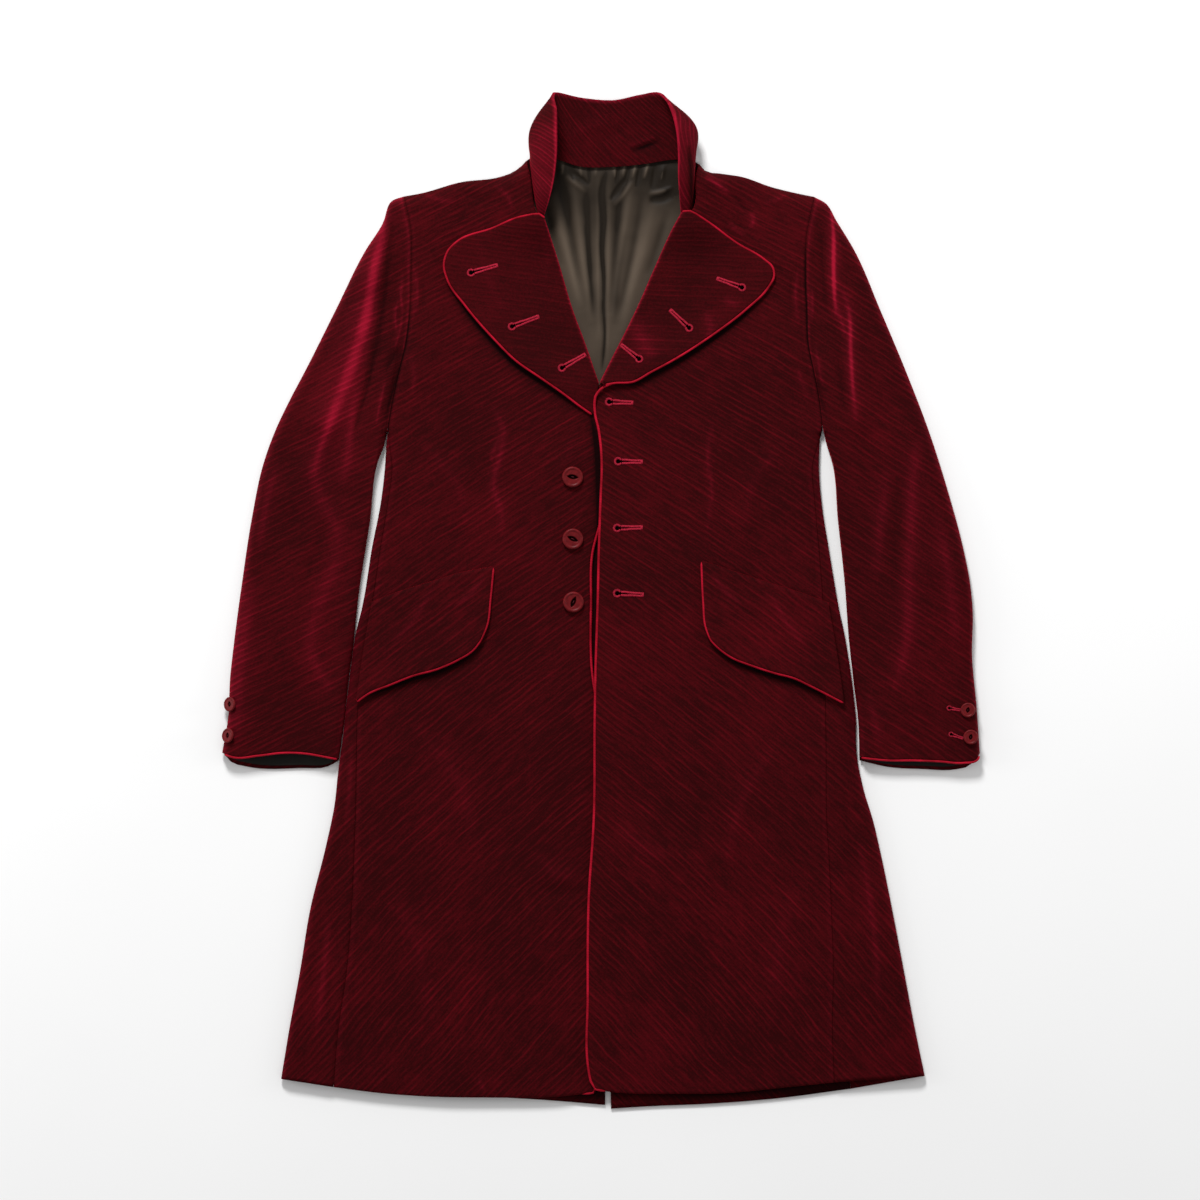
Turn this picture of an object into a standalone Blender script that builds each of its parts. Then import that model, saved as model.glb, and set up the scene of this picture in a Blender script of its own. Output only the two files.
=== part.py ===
"""A man's knee-length frock coat in corded velvet, laid flat on its back.

+Y runs from the hem to the collar and +Z away from the surface that the coat lies on. Left and
right are the wearer's, so the left front is at +X. Sizes in the tables are millimetres.
"""

import math

import bmesh
import bpy
import numpy as np
from mathutils import Matrix, Vector
from mathutils.bvhtree import BVHTree

MM = 0.001

# Cloth and trim
WALL = 2.6
SLEEVE_WALL = 2.4
FLAP_WALL = 2.2
LINING_WALL = 1.6
CUFF_LINING_WALL = 1.2
FLAP_LIFT = 1.4
COLLAR_WALL = 2.8
PIPING_RADIUS = 1.4
PIPING_GAP = 0.7
SEAM_GAP = 0.3
ARMHOLE_GAP = 0.8
UNDERARM_GAP = 1.4
LAY_GAP = 0.8
LAY_REACH = 3.0

# How the layers lie
BODY_TOP = 9.0
SLEEVE_TOP = 13.0
SEAM_HEIGHT = 4.1
SEAM_SPLIT = 0.3
BODY_ROLL = 10.0
SHOULDER_ROLL = 13.0
UNDER_ROLL = 4.0
EDGE_STEP = 1.8
EDGE_STEP_WIDTH = 40.0
LAPEL_DROP = 5.4
LAPEL_ROLL = 4.0
LAPEL_ROWS = 16
SLEEVE_BLEND = 70.0
SLEEVE_LENGTH = 640.0
FOREARM_ROW = 13
FOREARM_GAP = 0.0016
UNDERARM = 176.0
SIDE_SHARE = 0.71

# Buttons
FRONT_BUTTON_RADIUS = 11.0
CUFF_BUTTON_RADIUS = 7.8
BUTTON_GAP = 0.8
BUTTON_SIDES = 16
FACE_HEIGHT = 0.3
HOLE_OFFSET = 0.24
HOLE_SHARE = 0.1

SIGN = {"right": -1.0, "left": 1.0}

# Side fold of the body and the seams of its side piece: y, fold x, front seam x, back seam x
BODY_SIDE = {
    "right": [
        (-502, -336.0, -281.0, -270.0),
        (-451, -327.6, -276.0, -262.0),
        (-388, -316.0, -267.0, -252.0),
        (-325, -305.6, -262.0, -246.0),
        (-258, -289.0, -259.0, -242.0),
        (-215, -280.0, -257.5, -240.0),
        (-178, -276.0, -257.0, -238.0),
        (-126, -268.5, -256.0, -236.0),
        (-84, -263.5, -253.0, -233.0),
        (-42, -258.0, -247.0, -230.0),
        (8, -248.0, -238.5, -226.0),
        (53, -241.0, -232.0, -222.0),
        (105, -231.0, -223.5, -218.0),
        (140, -227.0, -219.5, -215.0),
        (170, -225.5, -218.5, -214.0),
    ],
    "left": [
        (-499, 340.0, 245.0, 262.0),
        (-451, 330.0, 243.0, 258.0),
        (-388, 318.0, 244.0, 254.0),
        (-325, 306.0, 242.0, 250.0),
        (-262, 293.0, 239.0, 246.0),
        (-230, 285.5, 237.0, 243.0),
        (-199, 276.0, 236.5, 240.0),
        (-164, 269.0, 236.5, 237.0),
        (-126, 267.0, 236.0, 235.0),
        (-84, 262.5, 235.5, 232.0),
        (-42, 256.0, 234.5, 229.0),
        (8, 247.0, 232.5, 226.0),
        (53, 239.5, 229.0, 222.0),
        (105, 231.5, 224.5, 219.0),
        (140, 229.0, 222.0, 217.0),
        (170, 230.0, 222.5, 217.0),
    ],
}

# Armhole seam, from the underarm to the shoulder tip: x, y
ARMHOLE = {
    "right": [
        (-224.0, 178),
        (-220.5, 202),
        (-213.0, 237),
        (-205.0, 270),
        (-200.5, 305),
        (-199.5, 342),
        (-200.0, 392),
        (-207.0, 424.5),
    ],
    "left": [
        (232.5, 182),
        (229.0, 213),
        (223.5, 241),
        (217.5, 270),
        (216.0, 305),
        (214.5, 341),
        (216.0, 385),
        (224.0, 424),
    ],
}

# Shoulder fold, from the tip to the neck: x, y
SHOULDER = {
    "right": [
        (-207.0, 424.5),
        (-190.0, 427.5),
        (-147.0, 439.5),
        (-106.0, 445.0),
        (-94.5, 449.0),
        (-83.0, 457.0),
        (-78.5, 462.0),
    ],
    "left": [
        (224.0, 424),
        (209.0, 427),
        (178.5, 434.5),
        (148.0, 445),
        (125.0, 448.5),
        (110.0, 451),
        (102.5, 459),
    ],
}

# Inner edge of each front: hem, front edge, break, under the lapel's roll, neckline: x, y
FRONT_EDGE = {
    "right": [
        (-6.0, -517),
        (-9.0, -416),
        (-8.5, -314),
        (-3.0, -230),
        (-3.0, -130),
        (-11.0, -68),
        (-11.5, 0),
        (-10.5, 47),
        (1.0, 95),
        (4.0, 140),
        (-1.0, 185),
        (-11.0, 231),
        (-22.5, 270),
        (-35.0, 304),
        (-51.0, 357),
        (-64.5, 398),
        (-69.0, 411),
        (-74.5, 446),
        (-78.5, 462),
    ],
    "left": [
        (-8.0, -513),
        (-12.0, -493),
        (-12.8, -416),
        (-11.8, -314),
        (-6.5, -230),
        (-5.5, -124),
        (-4.5, -68),
        (-2.3, 0),
        (-1.3, 47),
        (0.9, 112),
        (1.9, 140),
        (0.9, 162),
        (-1.5, 180),
        (-5.3, 197),
        (-4.5, 212),
        (4.5, 228),
        (16.0, 252),
        (31.5, 282),
        (44.5, 308),
        (60.0, 344),
        (82.5, 393),
        (96.5, 411),
        (99.5, 446),
        (102.5, 459),
    ],
}

# Share of a front's height at which its edge turns into the lapel
BREAK_SHARE = {"right": 0.72, "left": 0.745}

# Hem of the fronts and of the back, from the middle to the side: x, y
FRONT_HEM = {
    "right": [(-6.0, -517), (-47.0, -521), (-124.0, -522), (-180.0, -521), (-235.0, -517), (-281.0, -511)],
    "left": [(-8.0, -513), (3.0, -515), (79.0, -518), (135.5, -517), (186.0, -512), (245.0, -506)],
}
BACK_HEM = {
    "right": [(4.3, -530), (-49.0, -525.5), (-124.0, -521), (-200.0, -516), (-270.0, -510)],
    "left": [(10.5, -533.9), (59.0, -531), (109.0, -529), (186.0, -523), (262.0, -513)],
}
SIDE_FOLD_HEM = {"right": -502.5, "left": -499.5}

# Centre seam of the back, which opens into a vent at the hem: y, seam x, half the opening
BACK_SEAM = [
    (-533.9, 7.4, 3.1),
    (-450, 7.0, 2.0),
    (-330, 6.0, 0.5),
    (-280, 5.5, 0.35),
    (0, 4.0, 0.35),
    (456.5, 3.0, 0.35),
]

# Neckline of the back, from the centre seam to the shoulder: x, y
BACK_NECK = {
    "right": [(3.0, 456.5), (-20.0, 457.0), (-46.0, 464.5), (-62.0, 467.0), (-73.0, 466.0), (-78.5, 462.0)],
    "left": [(3.0, 456.5), (30.0, 458.0), (58.0, 462.0), (80.0, 464.5), (94.0, 463.5), (102.5, 459.0)],
}

# Roll line and free edge of each lapel, from the break to the collar: x, y
LAPEL_ROLL_LINE = {
    "right": [(-7.0, 237), (-16.8, 271), (-29.4, 305), (-45.2, 358), (-58.8, 400)],
    "left": [(0.0, 231), (10.5, 253), (26.3, 284), (38.9, 310), (54.6, 346), (76.7, 394), (84.0, 407)],
}
LAPEL_EDGE = {
    "right": [
        (-16.5, 203),
        (-37.8, 217.5),
        (-63.0, 234.5),
        (-88.2, 252),
        (-112.5, 276),
        (-142.5, 311),
        (-160.0, 336),
        (-164.0, 353),
        (-159.5, 367),
        (-150.5, 376),
        (-113.4, 390),
        (-88.2, 400.5),
        (-66.0, 405),
    ],
    "left": [
        (4.5, 229.5),
        (14.0, 230.5),
        (33.6, 231.5),
        (51.0, 240),
        (76.0, 253.5),
        (115.0, 278.5),
        (152.5, 307),
        (175.0, 329.5),
        (180.8, 341),
        (179.5, 349),
        (170.5, 357.5),
        (142.0, 374.5),
        (114.5, 394.5),
        (94.5, 407.5),
    ],
}

# Collar stations, from the right front end round the back to the left front end:
# base x, y, z; rim x, y, z; how far the middle of the band bellies out in x, y, z
COLLAR = [
    (-66.0, 411, 21.5, -60.0, 407, 25.0, -1.0, 0, 1.0),
    (-69.5, 430, 21.5, -53.5, 423, 31.0, -3.0, 0, 2.5),
    (-72.0, 448, 19.5, -49.0, 444, 36.0, -4.0, 0, 3.0),
    (-73.5, 463, 15.0, -46.5, 468, 40.0, -7.0, 0, 3.0),
    (-72.5, 469, 9.5, -46.5, 492, 41.5, -12.0, 2, 0),
    (-69.0, 471, 5.0, -47.0, 514, 37.0, -14.0, 5, -1.0),
    (-62.0, 471, 2.2, -50.0, 529, 24.0, -9.0, 5, -2.0),
    (-46.0, 467.5, 1.7, -45.0, 533.3, 11.0, -2.0, 0, -1.5),
    (-20.0, 459.6, 1.7, -20.0, 528, 6.5, 0, 0, -0.5),
    (14.0, 459.6, 1.7, 12.0, 525.5, 5.5, 0, 0, 0),
    (45.0, 462.5, 1.7, 40.0, 531, 7.0, 0, 0, -0.5),
    (70.0, 466.5, 1.8, 58.0, 533.3, 12.0, 4.0, 0, -1.5),
    (86.0, 467.5, 3.0, 68.0, 526, 24.0, 11.0, 6, -1.0),
    (94.0, 466.5, 7.0, 74.0, 513, 35.0, 15.0, 6, 0),
    (97.0, 462, 12.5, 79.0, 493, 40.0, 9.0, 3, 2.0),
    (97.3, 449, 18.0, 81.0, 468, 39.0, 5.0, 0, 3.0),
    (96.0, 432, 21.0, 81.0, 442, 35.0, 4.0, 0, 2.5),
    (94.5, 412, 21.5, 83.0, 410, 26.0, 1.0, 0, 1.0),
]

# Back lining, where the open neck shows it: the neck seam and its two hidden sides: x, y
LINING_NECK = [
    (-62.0, 463.5), (-46.0, 461), (-20.0, 454.5), (14.0, 454.5), (45.0, 458), (70.0, 459.5), (82.0, 458),
]
LINING_LOW = [(-24.0, 226), (-5.0, 222), (16.0, 226)]
LINING_SIDE = {
    "right": [(-24.0, 226), (-32.0, 262), (-47.0, 310), (-62.0, 360), (-71.0, 410), (-62.0, 463.5)],
    "left": [(16.0, 226), (28.0, 262), (52.0, 310), (74.0, 355), (90.0, 405), (82.0, 458)],
}

# Sleeves lying beside the body, from the shoulder tip or the underarm to the cuff: x, y
SLEEVE_OUTER = {
    "right": [
        (-207.6, 424.5),
        (-220.0, 420),
        (-230.0, 396),
        (-247.8, 368),
        (-279.3, 305),
        (-310.8, 242),
        (-327.6, 210),
        (-342.3, 179),
        (-354.0, 147),
        (-367.5, 84),
        (-377.0, 21),
        (-385.4, -42),
        (-389.6, -80),
        (-392.0, -125),
        (-397.9, -160),
    ],
    "left": [
        (224.6, 424),
        (237.0, 417),
        (248.0, 399),
        (266.7, 368),
        (294.0, 305),
        (320.3, 242),
        (344.4, 179),
        (364.4, 116),
        (381.2, 53),
        (387.5, 21),
        (390.6, -10),
        (390.0, -60),
        (394.5, -110),
        (397.9, -160),
    ],
}
SLEEVE_INNER = {
    "right": [
        (-226.0, 178),
        (-229.5, 162),
        (-235.2, 147),
        (-243.6, 84),
        (-255.0, 8),
        (-261.2, -42),
        (-266.5, -84),
        (-270.8, -126),
        (-275.5, -166),
    ],
    "left": [
        (234.4, 182),
        (238.0, 165),
        (243.6, 147),
        (249.9, 84),
        (256.5, 21),
        (262.0, -42),
        (266.5, -84),
        (271.2, -126),
        (271.5, -166),
    ],
}
CUFF_TOP = {
    "right": [
        (-397.9, -160), (-384.3, -164), (-360.0, -162), (-334.0, -159),
        (-308.0, -160), (-291.0, -163), (-275.5, -166),
    ],
    "left": [
        (397.9, -160), (394.0, -167), (381.0, -169.5), (355.0, -168),
        (328.7, -167), (302.4, -167), (271.5, -164),
    ],
}
CUFF_UNDER = {
    "right": [
        (-397.0, -160), (-388.0, -170), (-372.0, -174.5),
        (-316.0, -176), (-286.0, -174), (-275.5, -168),
    ],
    "left": [(397.0, -160), (386.4, -174), (371.7, -177.5), (337.0, -177), (302.4, -175), (271.5, -168)],
}

# Pocket flaps: the sewn top, the front end, the free lower edge and the side end: x, y
FLAP_TOP = {
    "right": [(-114.5, 34), (-143.0, 29), (-180.0, 18), (-215.0, 7), (-241.0, -3)],
    "left": [(107.0, 40), (140.0, 29), (180.6, 16), (215.0, 5), (239.0, -4)],
}
FLAP_FRONT = {
    "right": [(-114.5, 34), (-117.6, 2), (-121.0, -25), (-127.5, -41)],
    "left": [(107.0, 40), (109.0, -2), (111.3, -27), (116.0, -40)],
}
FLAP_LOW = {
    "right": [
        (-127.5, -41), (-136.0, -51.5), (-152.0, -61.5), (-171.0, -70),
        (-199.5, -78), (-222.0, -87), (-246.0, -97), (-257.0, -105),
    ],
    "left": [
        (116.0, -40), (122.0, -46.5), (138.0, -58.5), (156.5, -66),
        (184.0, -75), (203.0, -80), (222.0, -89), (255.0, -106),
    ],
}
FLAP_END = {
    "right": [(-241.0, -3), (-249.0, -50), (-257.0, -105)],
    "left": [(239.0, -4), (247.0, -50), (255.0, -106)],
}

# Largest folds, each a soft ridge along a line: x and y of its two ends, half width, height
BODY_FOLDS = [
    (-66, 404, -77, 462, 32, 12.0),
    (92, 402, 101, 458, 32, 12.0),
    (-192, 395, -203, 424, 36, 4.5),
    (212, 395, 221, 424, 36, 4.5),
    (-190, 245, -182, 345, 24, 1.8),
    (205, 250, 200, 345, 24, 1.8),
    (-150, 150, -205, 20, 30, 0.9),
    (150, 150, 205, 20, 30, 0.9),
    (-60, -330, -150, -490, 42, 0.9),
    (70, -300, 190, -480, 42, 0.9),
]
SLEEVE_FOLDS = {
    "right": [
        (-226, 398, -242, 340, 17, 4.5),
        (-242, 340, -292, 190, 17, 4.0),
        (-292, 190, -322, 110, 20, 2.5),
        (-300, 60, -330, -60, 26, 1.5),
    ],
    "left": [
        (240, 405, 246, 330, 15, 4.0),
        (258, 310, 272, 190, 17, 3.0),
        (320, 170, 345, 40, 26, 2.0),
        (345, 20, 335, -90, 26, 1.5),
    ],
}

# Buttons, each by a point off the cloth that it faces: x, y, z, turn of its holes in degrees
FRONT_BUTTONS = [(-29.4, 129.7, 20.0, -22), (-29.4, 64.6, 20.0, -14), (-28.4, -1.6, 20.0, 84)]
CUFF_BUTTONS = {
    "right": [(-393.8, -108.7, 16.5, 90), (-394.5, -141.2, 16.5, 90)],
    "left": [(385.0, -115.0, 20.0, 80), (388.0, -143.3, 20.0, 80)],
}


def hermite(keys, rows, at):
    """Values between rows on a smooth curve, at keys that rise from row to row."""
    slopes = np.gradient(rows, keys, axis=0)
    at = np.clip(np.asarray(at, float), keys[0], keys[-1])
    low = np.clip(np.searchsorted(keys, at, side="right") - 1, 0, len(keys) - 2)
    width = (keys[low + 1] - keys[low])[..., None]
    share = (at - keys[low])[..., None] / width
    square = share * share
    cube = square * share
    return (
        rows[low] * (2 * cube - 3 * square + 1)
        + slopes[low] * width * (cube - 2 * square + share)
        + rows[low + 1] * (3 * square - 2 * cube)
        + slopes[low + 1] * width * (cube - square)
    )


def curve(rows):
    """A smooth curve through plan points, read at shares of its length."""
    rows = np.array(rows, float)
    steps = np.linalg.norm(np.diff(rows, axis=0), axis=1)
    keys = np.concatenate([[0.0], np.cumsum(steps)]) / steps.sum()
    return lambda share: hermite(keys, rows, share)


def rising_curve(rows):
    """A smooth curve through plan points that rise in y, read at shares of its height."""
    rows = np.array(rows, float)
    keys = (rows[:, 1] - rows[0, 1]) / (rows[-1, 1] - rows[0, 1])
    return lambda share: hermite(keys, rows, share)


def column(rows, key, value):
    """One column of a table as a smooth function of another."""
    rows = np.array(sorted(rows, key=lambda row: row[key]), float)
    return lambda at: hermite(rows[:, key], rows[:, value][:, None], at)[..., 0]


def smoothstep(share):
    share = np.clip(share, 0.0, 1.0)
    return share * share * (3.0 - 2.0 * share)


def rounded(distance, radius):
    """Height share of a round edge, from 0 at the edge to 1 a radius inside it."""
    share = np.clip(np.asarray(distance, float) / radius, 0.0, 1.0)
    return np.sqrt(1.0 - (1.0 - share) ** 2)


def ridges(x, y, folds):
    """Height that a table of folds adds at plan points."""
    total = np.zeros_like(x, float)
    for x0, y0, x1, y1, width, rise in folds:
        along_x = x1 - x0
        along_y = y1 - y0
        share = ((x - x0) * along_x + (y - y0) * along_y) / (along_x**2 + along_y**2)
        share = np.clip(share, 0.0, 1.0)
        square = (x - x0 - share * along_x) ** 2 + (y - y0 - share * along_y) ** 2
        total = total + rise * np.exp(-square / width**2)
    return total


def patch(low, high, near, far, u, v):
    """Plan points between four curves: low and high run along u, near and far along v."""
    du = u[..., None]
    dv = v[..., None]
    across = (1 - dv) * low(u) + dv * high(u)
    along = (1 - du) * near(v) + du * far(v)
    corners = (
        (1 - du) * (1 - dv) * near(0.0)
        + du * (1 - dv) * far(0.0)
        + (1 - du) * dv * near(1.0)
        + du * dv * far(1.0)
    )
    return across + along - corners


def shares(v, near, far, inner, near_steps, far_steps):
    """Grid of u: steps in millimetres from each side, and even spaces between them."""
    width = np.linalg.norm(far(v) - near(v), axis=-1)
    rows = []
    for span in width:
        first = np.array(near_steps) / span
        last = 1.0 - np.array(far_steps)[::-1] / span
        middle = np.linspace(first[-1], last[0], inner + 2)[1:-1]
        rows.append(np.concatenate([first, middle, last]))
    u = np.array(rows)
    return u, np.repeat(v[:, None], u.shape[1], axis=1), width


def fold_x(side):
    return column(BODY_SIDE[side], 0, 1)


def shoulder_y(side):
    return column(SHOULDER[side], 0, 1)


def front_edge_x(side):
    return column(FRONT_EDGE[side], 1, 0)


def body_top(x, y, side, below=None):
    """Top of the cloth over the body, rolled down at the side fold and below the shoulder."""
    sign = SIGN[side]
    height = BODY_TOP + ridges(x, y, BODY_FOLDS)
    past_edge = sign * (x - front_edge_x("left")(y))
    step = smoothstep(1.0 - past_edge / EDGE_STEP_WIDTH) * smoothstep((260.0 - y) / 60.0)
    height = height + sign * EDGE_STEP * step
    inside = sign * (fold_x(side)(y) - x)
    side_roll = np.where(y < UNDERARM, rounded(inside, BODY_ROLL), 1.0)
    if below is None:
        below = shoulder_y(side)(x) - y
    share = side_roll * rounded(below, SHOULDER_ROLL)
    return SEAM_HEIGHT + SEAM_SPLIT + (height - SEAM_HEIGHT - SEAM_SPLIT) * share


def material(name, colour, roughness):
    made = bpy.data.materials.new(name)
    made.use_nodes = True
    shader = made.node_tree.nodes["Principled BSDF"]
    shader.inputs["Base Color"].default_value = (*colour, 1.0)
    shader.inputs["Roughness"].default_value = roughness
    shader.inputs["Metallic"].default_value = 0.0
    return made


def add(name, mesh_or_curve, look):
    """Makes a named object of the coat."""
    made = bpy.data.objects.new(name, mesh_or_curve)
    bpy.data.collections["Frock coat"].objects.link(made)
    made.data.materials.append(look)
    return made


def sheet(name, points, look, wall, side_of_wall, flip=False):
    """An open skin through a grid of points in millimetres, thickened to a wall."""
    rows, columns, _ = points.shape
    grid = bmesh.new()
    bmesh.ops.create_grid(grid, x_segments=columns - 1, y_segments=rows - 1, size=1.0)
    places = points[:, ::-1] if flip else points
    for vertex, place in zip(grid.verts, places.reshape(-1, 3)):
        vertex.co = place * MM
    mesh = bpy.data.meshes.new(name)
    grid.to_mesh(mesh)
    grid.free()
    mesh.shade_smooth()
    made = add(name, mesh, look)
    thick = made.modifiers.new("Wall", "SOLIDIFY")
    thick.thickness = wall * MM
    thick.offset = side_of_wall
    return made


def cord(name, points, look):
    """A piping cord through points in millimetres."""
    line = bpy.data.curves.new(name, "CURVE")
    line.dimensions = "3D"
    spline = line.splines.new("POLY")
    spline.points.add(len(points) - 1)
    for knot, place in zip(spline.points, points):
        knot.co = (*(place * MM), 1.0)
    line.bevel_depth = PIPING_RADIUS * MM
    line.bevel_resolution = 1
    line.use_fill_caps = True
    return add(name, line, look)


def skin(pieces):
    """The outer surface of finished pieces in millimetres, for what lies on them."""
    graph = bpy.context.evaluated_depsgraph_get()
    places = []
    faces = []
    for piece in pieces:
        mesh = piece.evaluated_get(graph).to_mesh()
        first = len(places)
        places += [vertex.co / MM for vertex in mesh.vertices]
        faces += [[first + corner for corner in face.vertices] for face in mesh.polygons]
    return BVHTree.FromPolygons(places, faces)


def laid(under, x, y, side):
    """Highest cloth close to each plan point; past the cloth's edge, that of the nearest cloth."""
    heights = np.empty_like(x, float)
    down = Vector((0.0, 0.0, -1.0))
    for spot in np.ndindex(x.shape):
        for shift in np.arange(0.0, 16.0, 2.0):
            hits = []
            for along, across in ((0, 0), (1, 0), (-1, 0), (0, 1), (0, -1)):
                at_x = x[spot] + SIGN[side] * shift + LAY_REACH * along
                at_y = y[spot] + LAY_REACH * across
                hits.append(under.ray_cast(Vector((at_x, at_y, 100.0)), down)[0])
            if hits[0] is not None:
                break
        heights[spot] = max(hit.z for hit in hits if hit is not None)
    return heights


def moved_out(plan, distance):
    """Plan points moved to the right of their line of travel."""
    step = np.gradient(plan, axis=0)
    step /= np.linalg.norm(step, axis=1)[:, None]
    return plan + distance * np.stack([step[:, 1], -step[:, 0]], axis=1)


def seam_rows():
    """Shares of the height of a front or a back at which its side seam is cut."""
    return np.concatenate([np.linspace(0.0, 0.42, 8), np.linspace(0.42, SIDE_SHARE, 9)[1:]])


def front_rows():
    """Shares of a front's height, close together where the shoulder rolls down."""
    chest = np.linspace(SIDE_SHARE, 0.965, 12)[1:]
    return np.concatenate([seam_rows(), chest, [0.978, 0.987, 0.9935, 0.9985, 0.99993, 1.0]])


def back_rows():
    """Shares of a back's height, close together where the shoulder rolls up."""
    blades = np.linspace(SIDE_SHARE, 0.97, 7)[1:]
    return np.concatenate([seam_rows(), blades, [0.99, 0.9957, 0.9978, 0.9994, 0.99997, 1.0]])


def outer_edge(side, seam):
    """Side seam and armhole as one line from the hem to the shoulder tip."""
    hem = FRONT_HEM if seam == 2 else BACK_HEM
    start = hem[side][-1]
    rows = [(row[seam], row[0]) for row in BODY_SIDE[side] if start[1] + 15 < row[0] < 150]
    return rising_curve([start] + rows + ARMHOLE[side])


def front(side, look):
    """One front, from its edge and the lapel's roll to the side seam and the armhole."""
    near = rising_curve(FRONT_EDGE[side])
    far = outer_edge(side, 2)
    v = front_rows()
    u, v, _ = shares(v, near, far, 9, [0.0], [SEAM_GAP])
    shoulder = curve(SHOULDER[side][::-1])
    plan = patch(curve(FRONT_HEM[side]), shoulder, near, far, u, v)
    x = plan[..., 0]
    y = plan[..., 1]
    height = body_top(x, y, side, below=shoulder(u)[..., 1] - y)
    points = np.stack([x, y, height], axis=-1)
    return sheet(f"front_{side}", points, look, WALL, -1.0, flip=side == "right")


def back(side, look):
    """One back, flat on the surface, its shoulder rolled up to the shoulder seam."""
    sign = SIGN[side]
    low_y = BACK_HEM[side][0][1]
    seam = [(x + sign * half, y) for y, x, half in BACK_SEAM if y > low_y + 20]
    near = rising_curve([BACK_HEM[side][0]] + seam)
    far = outer_edge(side, 3)
    v = back_rows()
    u, v, _ = shares(v, near, far, 5, [0.0], [SEAM_GAP])
    top = curve(BACK_NECK[side] + SHOULDER[side][::-1][1:])
    plan = patch(curve(BACK_HEM[side]), top, near, far, u, v)
    x = plan[..., 0]
    y = plan[..., 1]
    beyond_neck = sign * (x - SHOULDER[side][-1][0]) > 0
    below = np.where(beyond_neck, top(u)[..., 1] - y, UNDER_ROLL)
    height = (SEAM_HEIGHT - SEAM_SPLIT) * (1.0 - rounded(below, UNDER_ROLL))
    points = np.stack([x, y, height], axis=-1)
    return sheet(f"back_{side}", points, look, WALL, 1.0, flip=side == "right")


def side_piece(side, look):
    """The side body, from the front seam round the fold to the back seam."""
    sign = SIGN[side]
    hem_y = SIDE_FOLD_HEM[side]
    front_seam = outer_edge(side, 2)
    back_seam = outer_edge(side, 3)
    top_y = (front_seam(SIDE_SHARE)[1] + back_seam(SIDE_SHARE)[1]) / 2
    over = [1.0, 0.8, 0.6, 0.42, 0.26, 0.13, 0.0]
    under = [0.16, 0.32, 0.55, 1.0]
    rows = []
    for share in seam_rows():
        fold_y = hem_y + (top_y - hem_y) * share / SIDE_SHARE
        row = []
        for seam, ends in ((front_seam(share), over), (back_seam(share), under)):
            for end in ends:
                y = fold_y + (seam[1] - fold_y) * end**2
                fold = float(fold_x(side)(y))
                reach = (abs(fold - seam[0]) - SEAM_GAP) * end**2
                x = fold - sign * reach
                if ends is over:
                    z = float(body_top(x, y, side))
                else:
                    z = (SEAM_HEIGHT - SEAM_SPLIT) * (1.0 - float(rounded(reach, UNDER_ROLL)))
                row.append((x, y, z))
        rows.append(row)
    return sheet(f"side_{side}", np.array(rows), look, WALL, -1.0, flip=side == "right")


def sleeve_plan(side, cuff, v, inner, edge_steps):
    seam = []
    for x, y in ARMHOLE[side][::-1]:
        gap = ARMHOLE_GAP + UNDERARM_GAP * smoothstep((220.0 - y) / 40.0)
        seam.append((x + SIGN[side] * gap, y))
    low = curve(seam)
    near = curve(SLEEVE_OUTER[side])
    far = curve(SLEEVE_INNER[side])
    u, v, width = shares(v, near, far, inner, edge_steps, edge_steps)
    plan = patch(low, curve(cuff[side]), near, far, u, v)
    return plan, u * width[:, None], (1.0 - u) * width[:, None]


def sleeve_top(name, v, side, look):
    """Part of an upper sleeve, rolled down at both folds, with its ridges."""
    plan, from_outer, from_inner = sleeve_plan(side, CUFF_TOP, v, 8, [0.0, 0.06, 1.3, 5.0, 11.0])
    x = plan[..., 0]
    y = plan[..., 1]
    mix = smoothstep(v[:, None] * SLEEVE_LENGTH / SLEEVE_BLEND)
    inner_roll = 4.0 + 6.0 * mix
    share = rounded(from_outer, BODY_ROLL) * rounded(from_inner, inner_roll)
    seam = SEAM_HEIGHT + SEAM_SPLIT
    height = seam + (SLEEVE_TOP + ridges(x, y, SLEEVE_FOLDS[side]) - seam) * share
    start = seam + (body_top(x, y, side) - seam) * share
    points = np.stack([x, y, start + (height - start) * mix], axis=-1)
    return sheet(f"{name}_{side}", points, look, SLEEVE_WALL, -1.0, flip=side == "right")


def sleeve_upper(side, look):
    """The upper sleeve: down to below the elbow, then the forearm, which holds the cuff open."""
    v = np.concatenate([[0.0], np.linspace(0.03, 1.0, 20)])
    forearm = v[FOREARM_ROW:].copy()
    forearm[0] += FOREARM_GAP
    upper = sleeve_top("sleeve_upper", v[: FOREARM_ROW + 1], side, look)
    return [upper, sleeve_top("sleeve_forearm", forearm, side, look)]


def sleeve_under(side, look):
    """The under sleeve, flat on the surface and rolled up to the side seams."""
    v = np.concatenate([[0.0], np.linspace(0.04, 1.0, 16)])
    plan, from_outer, from_inner = sleeve_plan(side, CUFF_UNDER, v, 4, [0.0, 0.02, 0.7, 2.2, 4.4])
    mix = smoothstep(v[:, None] * SLEEVE_LENGTH / SLEEVE_BLEND)
    at_inner = (1.0 - rounded(from_inner, UNDER_ROLL)) * mix
    height = (SEAM_HEIGHT - SEAM_SPLIT) * np.maximum(1.0 - rounded(from_outer, UNDER_ROLL), at_inner)
    points = np.concatenate([plan, height[..., None]], axis=-1)
    return sheet(f"sleeve_under_{side}", points, look, SLEEVE_WALL, 1.0, flip=side == "right")


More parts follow.
